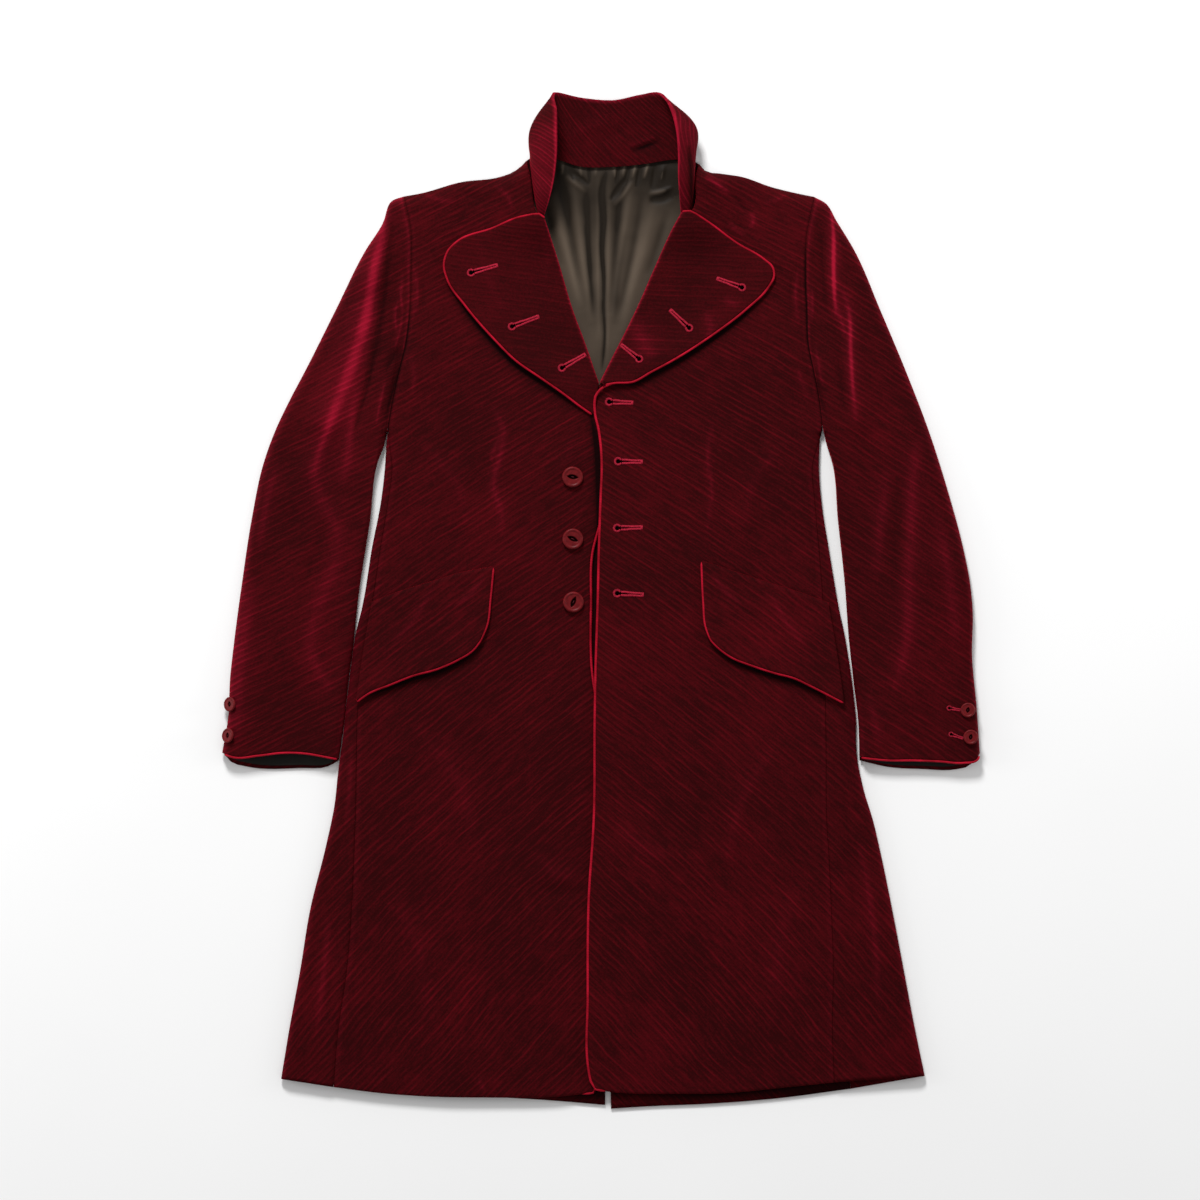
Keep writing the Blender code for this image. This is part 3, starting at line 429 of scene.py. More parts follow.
# Pocket flaps: the sewn top, the front end, the free lower edge and the side end: x, y
FLAP_TOP = {
    "right": [(-114.5, 34), (-143.0, 29), (-180.0, 18), (-215.0, 7), (-241.0, -3)],
    "left": [(107.0, 40), (140.0, 29), (180.6, 16), (215.0, 5), (239.0, -4)],
}
FLAP_FRONT = {
    "right": [(-114.5, 34), (-117.6, 2), (-121.0, -25), (-127.5, -41)],
    "left": [(107.0, 40), (109.0, -2), (111.3, -27), (116.0, -40)],
}
FLAP_LOW = {
    "right": [
        (-127.5, -41), (-136.0, -51.5), (-152.0, -61.5), (-171.0, -70), (-199.5, -78), (-222.0, -87),
        (-246.0, -97), (-257.0, -105),
    ],
    "left": [
        (116.0, -40), (122.0, -46.5), (138.0, -58.5), (156.5, -66), (184.0, -75), (203.0, -80),
        (222.0, -89), (255.0, -106),
    ],
}
FLAP_END = {
    "right": [(-241.0, -3), (-249.0, -50), (-257.0, -105)],
    "left": [(239.0, -4), (247.0, -50), (255.0, -106)],
}

# Largest folds, each a soft ridge along a line: x and y of its two ends, half width, height
BODY_FOLDS = [
    (-66, 404, -77, 462, 32, 12.0),
    (92, 402, 101, 458, 32, 12.0),
    (-192, 395, -203, 424, 36, 4.5),
    (212, 395, 221, 424, 36, 4.5),
    (-190, 245, -182, 345, 24, 1.8),
    (205, 250, 200, 345, 24, 1.8),
    (-150, 150, -205, 20, 30, 0.9),
    (150, 150, 205, 20, 30, 0.9),
    (-60, -330, -150, -490, 42, 0.9),
    (70, -300, 190, -480, 42, 0.9),
]

SLEEVE_FOLDS = {
    "right": [
        (-226, 398, -242, 340, 17, 4.5),
        (-242, 340, -292, 190, 17, 4.0),
        (-292, 190, -322, 110, 20, 2.5),
        (-300, 60, -330, -60, 26, 1.5),
    ],
    "left": [
        (240, 405, 246, 330, 15, 4.0),
        (258, 310, 272, 190, 17, 3.0),
        (320, 170, 345, 40, 26, 2.0),
        (345, 20, 335, -90, 26, 1.5),
    ],
}

# Creases pressed into the cloth: half width, rise, brightness painted along each (a highlight above nought,
# which on velvet also stands for rubbed pile, and shade below nought), points x, y
FRONT_CREASES = {
    "right": [
        (6, 0.7, 0.42, [(-114, 206), (-102, 175), (-107, 148), (-113, 121), (-105, 94), (-104, 60)]),
        (4, -0.8, -0.3, [(-117, 40), (-124, 33), (-131, 20)]),
        (3, 0.6, 0.4, [(-104, 172), (-112, 160), (-116, 146)]),
        (3.5, 0.7, 0.35, [(-190, 430), (-172, 421), (-150, 419)]),
        (3, -0.8, -0.35, [(-150, 432), (-128, 421), (-108, 420)]),
        (3, 0.6, 0.35, [(-112, 436), (-98, 424), (-92, 408)]),
        (3.5, 0.8, 0.35, [(-196, 352), (-193, 322), (-196, 296)]),
        (3, -0.7, -0.3, [(-189, 344), (-186, 318), (-188, 300)]),
        (3, 0.6, 0.3, [(-201, 262), (-196, 236), (-198, 214)]),
        (9, 0.7, 0.11, [(-190, 168), (-150, 120), (-140, 74)]),
        (10.5, -0.7, -0.09, [(-168, 176), (-128, 132), (-126, 96)]),
        (9, 0.6, 0.098, [(-30, 170), (-36, 150), (-52, 128)]),
        (13.5, 0.9, 0.11, [(-196, -130), (-150, -190), (-128, -262)]),
        (13.5, -0.8, -0.09, [(-150, -130), (-112, -180), (-96, -232)]),
        (12, 0.8, 0.14, [(-70, -262), (-48, -286), (-14, -290)]),
        (10.5, -0.9, -0.14, [(-66, -300), (-44, -306), (-16, -302)]),
        (15, 0.9, 0.098, [(-222, -300), (-190, -370), (-182, -450)]),
        (13.5, -0.8, -0.09, [(-130, -330), (-118, -390), (-120, -470)]),
        (3, 0.9, 0.3, [(-130, -500), (-124, -512), (-122, -521)]),
    ],
    "left": [
        (4, 1.0, 0.75, [(109, 446), (122, 437), (135, 427)]),
        (3, -1.4, -0.6, [(138, 427), (146, 417), (154, 405)]),
        (4, 1.0, 0.6, [(157, 408), (160, 398), (156, 390)]),
        (2.6, -1.0, -0.45, [(138, 402), (146, 393), (154, 389)]),
        (3, 0.8, 0.5, [(134, 398), (143, 389), (152, 385)]),
        (3.5, 0.7, 0.3, [(196, 428), (184, 420), (170, 418)]),
        (3.5, 0.8, 0.35, [(207, 350), (204, 318), (208, 288)]),
        (3, -0.7, -0.3, [(200, 340), (198, 318), (200, 300)]),
        (4, 0.6, 0.3, [(118, 190), (112, 152), (116, 116), (111, 70)]),
        (3, 0.6, 0.3, [(206, 246), (212, 226), (220, 210)]),
        (9, 0.7, 0.098, [(198, 172), (160, 122), (148, 72)]),
        (10.5, -0.7, -0.09, [(176, 180), (138, 136), (134, 96)]),
        (13.5, 0.9, 0.11, [(186, -150), (150, -204), (130, -282)]),
        (13.5, -0.8, -0.09, [(146, -140), (110, -196), (98, -250)]),
        (12, 0.8, 0.11, [(16, -236), (46, -262), (80, -270)]),
        (15, 0.9, 0.098, [(206, -300), (186, -372), (184, -452)]),
        (13.5, -0.8, -0.09, [(96, -330), (108, -394), (104, -470)]),
    ],
}

SLEEVE_CREASES = {
    "right": [
        (13.0, 1.4, 1.1, [(-226, 412), (-229, 384), (-237, 352), (-243, 315), (-253, 273)]),
        (17.0, 1.4, 1.0, [(-240, 316), (-253, 273), (-265, 237), (-278, 205), (-290, 176)]),
        (10.0, 0.9, 0.7, [(-274, 212), (-286, 182), (-297, 152), (-304, 126)]),
        (10.0, 0.8, 0.5, [(-256, 226), (-262, 186), (-266, 150), (-272, 118)]),
        (6.5, -1.2, -0.75, [(-219, 400), (-224, 352), (-229, 306), (-237, 262), (-246, 228)]),
        (3.4, -1.4, -0.7, [(-236, 268), (-243, 232), (-252, 200), (-260, 172)]),
        (3.6, -1.5, -0.9, [(-208, 262), (-214, 236), (-222, 208), (-228, 184)]),
        (3.0, -1.2, -0.8, [(-207, 264), (-218, 256), (-226, 240)]),
        (2.4, 1.0, 0.6, [(-208, 342), (-210, 322), (-208, 300)]),
        (2.2, 0.9, 0.5, [(-213, 316), (-216, 298), (-214, 280)]),
        (2.4, 0.9, 0.5, [(-208, 300), (-212, 280), (-217, 264)]),
        (2.6, 0.9, 0.5, [(-226, 232), (-232, 206), (-236, 184)]),
        (15.0, 0.9, 0.28, [(-304, 152), (-296, 112), (-278, 76), (-274, 60)]),
        (18.0, 0.9, 0.3, [(-274, 76), (-280, 36), (-300, -14), (-306, -44)]),
        (14.0, 0.7, 0.28, [(-305, -20), (-302, -62), (-290, -84), (-278, -98)]),
        (7.0, -0.9, -0.3, [(-290, 88), (-304, 40), (-322, -20)]),
        (14.0, 0.5, 0.5, [(-366, 30), (-376, -40), (-382, -100), (-382, -152)]),
        (9.0, 0.4, 0.35, [(-340, 150), (-352, 100), (-360, 50)]),
    ],
    "left": [
        (4.6, 1.6, 1.6, [(241, 412), (244, 384), (244, 352), (245, 318), (247, 296)]),
        (5.6, 1.4, 1.0, [(252, 330), (260, 304), (262, 262), (264, 226), (268, 186)]),
        (4.0, 0.9, 0.5, [(246, 314), (252, 294), (257, 276)]),
        (3.0, 0.9, 0.45, [(221, 332), (222, 312), (221, 292)]),
        (3.0, 0.9, 0.4, [(225, 268), (229, 244), (233, 222)]),
        (4.0, -1.2, -0.4, [(231, 388), (233, 340), (237, 300)]),
        (4.0, -1.0, -0.4, [(247, 262), (252, 228), (257, 196)]),
        (2.6, -1.2, -0.6, [(226, 240), (231, 212), (238, 190)]),
        (13.0, 0.9, 0.4, [(334, 176), (328, 139), (325, 84), (323, 28)]),
        (13.0, 0.9, 0.4, [(325, 60), (323, 20), (319, -52), (306, -98)]),
        (12.0, 0.7, 0.25, [(300, 140), (293, 74), (288, 20)]),
        (8.0, -0.8, -0.25, [(312, 130), (309, 70), (306, 10)]),
        (12.0, 0.5, 0.3, [(352, 96), (366, 20), (374, -50)]),
        (9.0, 0.7, 0.25, [(280, -96), (288, -130), (292, -156)]),
    ],
}

SIDE_CREASES = {
    "right": [
        (6.0, 0.7, 0.3, [(-286, -330), (-292, -400), (-300, -460)]),
        (5.0, 0.6, 0.25, [(-262, -150), (-264, -196), (-268, -240)]),
    ],
    "left": [
        (6.0, 0.7, 0.3, [(270, -250), (286, -340), (292, -430)]),
        (5.0, -0.6, -0.25, [(254, -200), (262, -280), (266, -352)]),
    ],
}

# Height up to which each armhole's seam has its deepest painted shade
ARMHOLE_SHADE_TOP = {"right": 318.0, "left": 388.0}

# Painted shadow on the back just below the fronts' hem
HEM_SHADE = 0.9
HEM_SHADE_LOW = -525.5
HEM_SHADE_FADE = 6.0

# Shade along what lies on each front: lapel and flap low edges, and the other front's edge
SHADE_WIDTH = 6.6
SHADE_DEPTH = -1.9
SHADE_OUT = 3.3
OVERLAP_SHADE = [(-9.4, 212), (-9.0, 190), (-5.4, 168), (-2.4, 126), (-2.0, 84), (-5.0, 40)]

LAPEL_CREASES = {
    "right": [
        (8.0, 0.5, 0.06, [(-60, 396), (-56, 360), (-62, 320)]),
        (8.0, -0.4, -0.05, [(-100, 384), (-96, 344), (-84, 300)]),
        (7.0, 0.5, 0.08, [(-128, 376), (-118, 336), (-98, 296)]),
    ],
    "left": [
        (18.0, 0.5, 0.42, [(30, 296), (44, 272), (56, 252)]),
        (6.0, 0.5, 0.4, [(109, 304), (115, 286), (110, 272)]),
        (7.0, -0.4, -0.06, [(96, 350), (92, 322), (80, 290)]),
        (4.0, 0.5, 0.35, [(128, 318), (137, 312), (146, 310)]),
    ],
}

FLAP_CREASES = {
    "right": [
        (4.0, 0.6, 0.3, [(-120, 26), (-140, 4), (-168, -10)]),
        (5.0, 0.5, 0.25, [(-176, 14), (-196, -20), (-220, -48)]),
        (4.0, -0.5, -0.2, [(-136, 20), (-156, -6), (-186, -30)]),
    ],
    "left": [
        (4.0, 0.6, 0.3, [(114, 30), (134, 6), (160, -10)]),
        (5.0, 0.5, 0.25, [(176, 12), (194, -22), (216, -50)]),
        (4.0, -0.5, -0.2, [(136, 22), (152, -8), (182, -34)]),
    ],
}

COLLAR_CREASES = [
    (4.4, -1.3, -1.3, [(31, 472), (46, 477), (62, 483)]),
    (3.0, 0.8, 0.4, [(28, 477), (45, 482), (60, 488)]),
    (3.8, -1.6, -1.3, [(90.5, 478), (93, 452), (93.6, 426), (93.8, 404)]),
    (1.8, 0.8, 0.4, [(96.5, 470), (97.5, 448), (97, 424)]),
    (7.0, 0.8, 0.1, [(-38, 486), (-12, 498), (10, 504)]),
    (6.0, -0.6, -0.15, [(-6, 480), (14, 490), (36, 502)]),
]

# Rows with no rise only paint light and shade on the lining
LINING_CREASES = [
    (2.8, -2.0, -1.0, [(6, 452), (0.5, 430), (2.5, 400), (0.8, 370), (3, 340), (2.5, 300)]),
    (2.2, -1.4, -0.5, [(2, 316), (4, 280), (1, 240)]),
    (11.0, 0.0, -0.9, [(60, 468), (70, 448), (74, 424)]),
    (8.0, 0.0, -0.6, [(-58, 462), (-52, 440), (-60, 420)]),
    (9.0, 0.0, 0.12, [(-40, 404), (-32, 356), (-20, 300)]),
    (8.0, 0.0, 0.2, [(44, 400), (34, 350), (22, 296)]),
    (7.0, 0.0, -0.5, [(26, 390), (19, 340), (14, 290)]),
    (6.0, 0.0, -0.4, [(-16, 396), (-12, 344), (-8, 296)]),
    (3.2, 1.5, 0.0, [(8.5, 448), (8, 380), (7.5, 310), (6.5, 246)]),
    (2.4, 1.3, 0.0, [(-2.5, 448), (-3.2, 400), (-3, 340), (-2, 270)]),
    (5.0, 2.0, 0.0, [(34, 446), (26, 400), (20, 350), (14, 290)]),
    (4.0, -1.8, 0.0, [(22, 440), (18, 400), (14, 350), (10, 300)]),
    (6.0, 1.6, 0.0, [(56, 416), (46, 374), (34, 330), (22, 280)]),
    (4.0, -1.6, 0.0, [(44, 430), (37, 384), (28, 340), (18, 296)]),
    (4.5, -1.4, 0.0, [(70, 410), (60, 374), (48, 340)]),
    (5.0, 2.0, 0.0, [(-30, 446), (-24, 396), (-17, 344), (-10, 290)]),
    (3.5, -1.9, 0.0, [(-16, 436), (-14, 390), (-11, 340), (-7, 300)]),
    (5.0, 1.7, 0.0, [(-52, 440), (-44, 396), (-32, 350), (-21, 306)]),
    (4.0, -1.7, 0.0, [(-42, 446), (-34, 396), (-25, 348), (-16, 306)]),
    (4.0, -1.4, 0.0, [(-60, 420), (-52, 386), (-42, 350)]),
    (2.4, -2.4, 0.0, [(27, 444), (19, 433), (9, 420)]),
    (2.4, 1.8, 0.0, [(33, 440), (25, 428), (14, 414)]),
    (2.2, 2.2, 0.0, [(50, 427), (62, 429), (76, 434)]),
    (3.4, -2.4, 0.0, [(50, 421), (63, 421), (76, 426)]),
    (2.2, -2.0, 0.0, [(-34, 452), (-22, 444), (-12, 436)]),
    (2.4, 1.6, 0.0, [(-38, 446), (-26, 437), (-15, 428)]),
]

# Gathers below the back neck's seam: x, length, lean of the lower end, half width, rise
LINING_GATHERS = [
    (-56, 12, 2, 1.8, 1.0),
    (-48, 16, 1, 1.6, -1.0),
    (-40, 11, -1, 1.8, 1.1),
    (-31, 18, 2, 1.7, -1.1),
    (-22, 13, 1, 1.7, 1.1),
    (-13, 20, 1, 1.6, -1.0),
    (-5, 12, -1, 1.5, 1.0),
    (13, 14, 2, 1.5, 1.1),
    (19, 20, -3, 1.5, -1.3),
    (25, 12, -2, 1.5, 1.3),
    (31, 22, -6, 1.5, -1.4),
    (37, 14, -4, 1.6, 1.4),
    (43, 24, -6, 1.7, -1.4),
    (50, 15, -5, 1.8, 1.4),
    (58, 26, -4, 2.4, -1.5),
    (67, 18, -4, 2.2, 1.3),
]

# Buttonholes: x and y of the eyelet, x and y of the bar at the other end
FRONT_HOLES = [
    ((8.5, 208.5), (32, 207.5)), ((18, 146), (42, 145.5)), ((17, 76), (42, 76.5)), ((17, 7.5), (43, 6)),
]
LAPEL_HOLES = {
    "right": [((-136.5, 344), (-110, 351.5)), ((-93.5, 287.5), (-66.5, 297.5)), ((-41, 244), (-17.5, 257.5))],
    "left": [((148, 328.5), (123, 337.5)), ((92.5, 286), (73.5, 304)), ((40, 253.5), (22, 267.5))],
}
CUFF_HOLES = [((365.5, -113), (377, -115)), ((367.5, -140.5), (379, -144.5))]

# Turn of the holes of each button in degrees
BUTTON_TURNS = {
    "button_front_1": -8,
    "button_front_2": -24,
    "button_front_3": 66,
    "button_cuff_right_1": 90,
    "button_cuff_right_2": 90,
    "button_cuff_left_1": 78,
    "button_cuff_left_2": 78,
}


def hermite(keys, rows, at):
    """Values between rows on a smooth curve, at keys that rise from row to row."""
    slopes = np.gradient(rows, keys, axis=0)
    at = np.clip(np.asarray(at, float), keys[0], keys[-1])
    low = np.clip(np.searchsorted(keys, at, side="right") - 1, 0, len(keys) - 2)
    width = (keys[low + 1] - keys[low])[..., None]
    share = (at - keys[low])[..., None] / width
    square = share * share
    cube = square * share
    return (
        rows[low] * (2 * cube - 3 * square + 1)
        + slopes[low] * width * (cube - 2 * square + share)
        + rows[low + 1] * (3 * square - 2 * cube)
        + slopes[low + 1] * width * (cube - square)
    )


def curve(rows):
    """A smooth curve through plan points, read at shares of its length."""
    rows = np.array(rows, float)
    steps = np.linalg.norm(np.diff(rows, axis=0), axis=1)
    keys = np.concatenate([[0.0], np.cumsum(steps)]) / steps.sum()
    return lambda share: hermite(keys, rows, share)


def rising_curve(rows):
    """A smooth curve through plan points that rise in y, read at shares of its height."""
    rows = np.array(rows, float)
    keys = (rows[:, 1] - rows[0, 1]) / (rows[-1, 1] - rows[0, 1])
    return lambda share: hermite(keys, rows, share)


def column(rows, key, value):
    """One column of a table as a smooth function of another."""
    rows = np.array(sorted(rows, key=lambda row: row[key]), float)
    return lambda at: hermite(rows[:, key], rows[:, value][:, None], at)[..., 0]


def smoothstep(share):
    share = np.clip(share, 0.0, 1.0)
    return share * share * (3.0 - 2.0 * share)


def bell(distance, width):
    """A soft peak: 1 at no distance, and close to nothing past twice the width."""
    return np.exp(-((distance / width) ** 2))


def rounded(distance, radius):
    """Height share of a round edge, from 0 at the edge to 1 a radius inside it."""
    share = np.clip(np.asarray(distance, float) / radius, 0.0, 1.0)
    return np.sqrt(1.0 - (1.0 - share) ** 2)


def ridges(x, y, folds):
    """Height that a table of folds adds at plan points."""
    total = np.zeros_like(x, float)
    for x0, y0, x1, y1, width, rise in folds:
        along_x = x1 - x0
        along_y = y1 - y0
        share = ((x - x0) * along_x + (y - y0) * along_y) / (along_x**2 + along_y**2)
        share = np.clip(share, 0.0, 1.0)
        square = (x - x0 - share * along_x) ** 2 + (y - y0 - share * along_y) ** 2
        total = total + rise * np.exp(-square / width**2)
    return total


def patch(low, high, near, far, u, v):
    """Plan points between four curves: low and high run along u, near and far along v."""
    du = u[..., None]
    dv = v[..., None]
    across = (1 - dv) * low(u) + dv * high(u)
    along = (1 - du) * near(v) + du * far(v)
    corners = (
        (1 - du) * (1 - dv) * near(0.0)
        + du * (1 - dv) * far(0.0)
        + (1 - du) * dv * near(1.0)
        + du * dv * far(1.0)
    )
    return across + along - corners


def shares(v, near, far, inner, near_steps, far_steps):
    """Grid of u: steps in millimetres from each side, and even spaces between them."""
    width = np.linalg.norm(far(v) - near(v), axis=-1)
    rows = []
    for span in width:
        first = np.array(near_steps) / span
        last = 1.0 - np.array(far_steps)[::-1] / span
        middle = np.linspace(first[-1], last[0], inner + 2)[1:-1]
        rows.append(np.concatenate([first, middle, last]))
    u = np.array(rows)
    return u, np.repeat(v[:, None], u.shape[1], axis=1), width


def fold_x(side):
    return column(BODY_SIDE[side], 0, 1)


def body_top(x, y, side, below=None):
    """Top of the cloth over the body, rolled down at the side fold and below the shoulder."""
    sign = SIGN[side]
    height = BODY_TOP + ridges(x, y, BODY_FOLDS)
    past_edge = sign * (x - column(FRONT_EDGE["left"], 1, 0)(y))
    low_down = smoothstep((EDGE_STEP_TOP - y) / EDGE_STEP_FADE)
    height = height + sign * EDGE_STEP * smoothstep(1.0 - past_edge / EDGE_STEP_WIDTH) * low_down
    inside = sign * (fold_x(side)(y) - x)
    side_roll = np.where(y < UNDERARM, rounded(inside, BODY_ROLL), 1.0)
    if below is None:
        below = column(SHOULDER[side], 0, 1)(x) - y
    share = side_roll * rounded(below, SHOULDER_ROLL)
    return UPPER_SEAM + (height - UPPER_SEAM) * share


def sleeve_top(x, y, side):
    return SLEEVE_TOP + ridges(x, y, SLEEVE_FOLDS[side])


def moved_out(plan, distance):
    """Plan points moved to the right of their line of travel."""
    step = np.gradient(plan, axis=0)
    step /= np.linalg.norm(step, axis=1)[:, None]
    return plan + distance * np.stack([step[:, 1], -step[:, 0]], axis=1)


def outer_edge(side, seam):
    """Side seam and armhole as one line from the hem to the shoulder tip."""
    hem = FRONT_HEM if seam == FRONT_SEAM_COLUMN else BACK_HEM
    start = hem[side][-1]
    seam_rows = [row for row in BODY_SIDE[side] if start[1] + HEM_CLEAR < row[0] < SEAM_TOP]
    return rising_curve([start] + [(row[seam], row[0]) for row in seam_rows] + ARMHOLE[side])


def creased(x, y, creases):
    """Rise of creases at plan points, and the highlight and shade painted along them. Each one fades out
    towards its two ends.
    """
    rise = np.zeros_like(x, float)
    rub_and_painted_light = np.zeros_like(x, float)
    for width, height, bright, line in creases:
        line = curve(line)(np.linspace(0.0, 1.0, 4 * len(line)))
        low = line.min(axis=0) - 3 * width
        high = line.max(axis=0) + 3 * width
        near = (x > low[0]) & (x < high[0]) & (y > low[1]) & (y < high[1])
        spots = np.stack([x[near], y[near]], axis=-1)
        least = np.full(len(spots), np.inf)
        share = np.zeros(len(spots))
        last = len(line) - 1
        for i in range(last):
            step = line[i + 1] - line[i]
            along = np.clip((spots - line[i]) @ step / (step @ step), 0.0, 1.0)
            away = np.linalg.norm(spots - line[i] - along[:, None] * step, axis=1)
            closer = away < least
            least = np.where(closer, away, least)
            share = np.where(closer, (i + along) / last, share)
        fade = np.sin(math.pi * np.clip(share, 0.0, 1.0)) ** 0.7
        rise[near] += height * bell(least, width) * fade
        rub_and_painted_light[near] += bright * (0.75 * bell(least, 0.42 * width) + 0.3 * bell(least, 1.3 * width)) * fade
    return rise, rub_and_painted_light


def edge_drop(distance):
    """How far the surface turns down at a finished edge."""
    return EDGE_ROUND * (1.0 - rounded(distance, 1.4 * EDGE_ROUND))


def grain(x, y, side, degrees, pitch):
    """Map coordinates of the ribs: across them in ribs, along them in decimetres."""
    turn = np.radians(degrees)
    sign = SIGN[side]
    across = (sign * x * np.sin(turn) + y * np.cos(turn)) / pitch
    along = (x * np.cos(turn) - sign * y * np.sin(turn)) / 100.0
    return np.stack([across, along], axis=-1)


def body_grain(x, y, side):
    """Ribs of the body, steeper towards the hem."""
    turn = BODY_RIB_TURN - BODY_RIB_CHANGE * np.clip(y / 300.0, -1.6, 1.2)
    return grain(x, y, side, turn, RIB_PITCH)


def satin_grain(x, y):
    return np.stack([x / 10.0, y / 10.0], axis=-1)


def built(name, places, faces, look, smooth=True):
    """An object in the scene from places in millimetres and faces between them."""
    mesh = bpy.data.meshes.new(name)
    mesh.from_pydata((np.asarray(places, float) * MM).tolist(), [], faces)
    if smooth:
        mesh.shade_smooth()
    mesh.materials.append(look)
    made = bpy.data.objects.new(name, mesh)
    bpy.context.scene.collection.objects.link(made)
    return made


def mark(made, name, values):
    """Writes a number on each vertex, for the material to read."""
    shade = made.data.attributes.new(name, "FLOAT", "POINT")
    shade.data.foreach_set("value", np.asarray(values, np.float32).ravel())


def dress(made, slot, *nodes):
    """Puts a piece on the coat, in place of the solids that it shows if there are any."""
    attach(made, "root")
    if nodes:
        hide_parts(*nodes)
    return made


def panel(name, points, ribs, rub_and_painted_light, wall, grow, flip, look, slot="velvet", also=()):
    """A panel of cloth through a grid of points, given a wall and put in place of its solids."""
    if flip:
        points = points[:, ::-1]
        ribs = ribs[:, ::-1]
        rub_and_painted_light = rub_and_painted_light[:, ::-1]
    rows, columns, _ = points.shape
    corner = np.arange(rows * columns).reshape(rows, columns)
    faces = [corner[:-1, :-1], corner[:-1, 1:], corner[1:, 1:], corner[1:, :-1]]
    faces = np.stack(faces, axis=-1).reshape(-1, 4)
    made = built(f"cloth_{name}", points.reshape(-1, 3), faces.tolist(), look)
    mapped = made.data.uv_layers.new(name="ribs")
    mapped.data.foreach_set("uv", ribs.reshape(-1, 2)[faces.ravel()].astype(np.float32).ravel())
    # The number marked on each point is painted light on the cloth: highlight above nought, shade below; on
    # velvet it also stands for rubbed pile
    mark(made, "rub_and_painted_light", rub_and_painted_light)
    thick = made.modifiers.new("Wall", "SOLIDIFY")
    thick.thickness = wall * MM
    thick.offset = grow
    dress(made, slot, name, *also)
    return made


def touching(y):
    """How far sleeve and side each reach towards the other where they lie against each other."""
    return TOUCH * smoothstep((TOUCH_TOP - y) / 30.0) * smoothstep((y - TOUCH_LOW) / 30.0)


def front(side, look):
    near = rising_curve(FRONT_EDGE[side])
    far = outer_edge(side, FRONT_SEAM_COLUMN)
    v = np.concatenate([HEM_ROWS, np.linspace(0.004, 0.986, 310), SHOULDER_ROWS])
    u, v, width = shares(v, near, far, 76, [0.0, 0.3, 0.9, 1.8, 3.0], [SEAM_GAP, 0.8, 1.8, 3.2])
    shoulder = curve(SHOULDER[side][::-1])
    plan = patch(curve(FRONT_HEM[side]), shoulder, near, far, u, v)
    x = plan[..., 0]
    y = plan[..., 1]
    height = body_top(x, y, side, below=shoulder(u)[..., 1] - y)
    low_edges = [OVERLAP_SHADE] if side == "right" else []
    for rows in (LAPEL_EDGE[side][:8], FLAP_LOW[side]):
        low_edges.append(moved_out(curve(rows)(np.linspace(0.0, 1.0, 14)), SIGN[side] * SHADE_OUT))
    shades = [(SHADE_WIDTH, 0.0, SHADE_DEPTH, line) for line in low_edges]
    rise, rub_and_painted_light = creased(x, y, FRONT_CREASES[side] + shades)
    from_seam = (1.0 - u) * width[:, None]
    from_armhole = from_seam + 60.0 * smoothstep((UNDERARM - y) / 20.0)
    from_edge = np.minimum(u * width[:, None], v * FRONT_LENGTH)
    height = height + rise - edge_drop(from_edge) - 0.5 * bell(from_seam, 2.0)
    # Painted highlight just beside the side seam, and painted shade along the armhole seam, deeper low down
    shade = 0.25 + 0.95 * smoothstep((ARMHOLE_SHADE_TOP[side] - y) / 40.0)
    rub_and_painted_light = rub_and_painted_light + 0.1 * bell(from_seam - 2.5, 1.6) - shade * bell(from_armhole, 1.2)
    points = np.stack([x, y, height], axis=-1)
    ribs = body_grain(x, y, side)
    return panel(f"front_{side}", points, ribs, rub_and_painted_light, WALL, -1.0, side == "right", look)


def back(side, look):
    sign = SIGN[side]
    low_y = BACK_HEM[side][0][1]
    seam = [(x + sign * half, y) for y, x, half in BACK_SEAM if y > low_y + 20]
    near = rising_curve([BACK_HEM[side][0]] + seam)
    v = np.concatenate([np.linspace(0.0, 0.98, 110), BACK_ROLL_ROWS])
    u, v, _ = shares(v, near, outer_edge(side, BACK_SEAM_COLUMN), 28, [0.0], [SEAM_GAP])
    top = curve(BACK_NECK[side] + SHOULDER[side][::-1][1:])
    plan = patch(curve(BACK_HEM[side]), top, near, outer_edge(side, BACK_SEAM_COLUMN), u, v)
    x = plan[..., 0]
    y = plan[..., 1]
    beyond_neck = sign * (x - SHOULDER[side][-1][0]) > 0
    below = np.where(beyond_neck, top(u)[..., 1] - y, UNDER_ROLL)
    points = np.stack([x, y, LOWER_SEAM * (1.0 - rounded(below, UNDER_ROLL))], axis=-1)
    # Painted shadow below the fronts' hem
    rub_and_painted_light = -HEM_SHADE * smoothstep((y - HEM_SHADE_LOW) / HEM_SHADE_FADE)
    ribs = body_grain(x, y, side)
    return panel(f"back_{side}", points, ribs, rub_and_painted_light, SIDE_WALL, 1.0, side == "right", look)


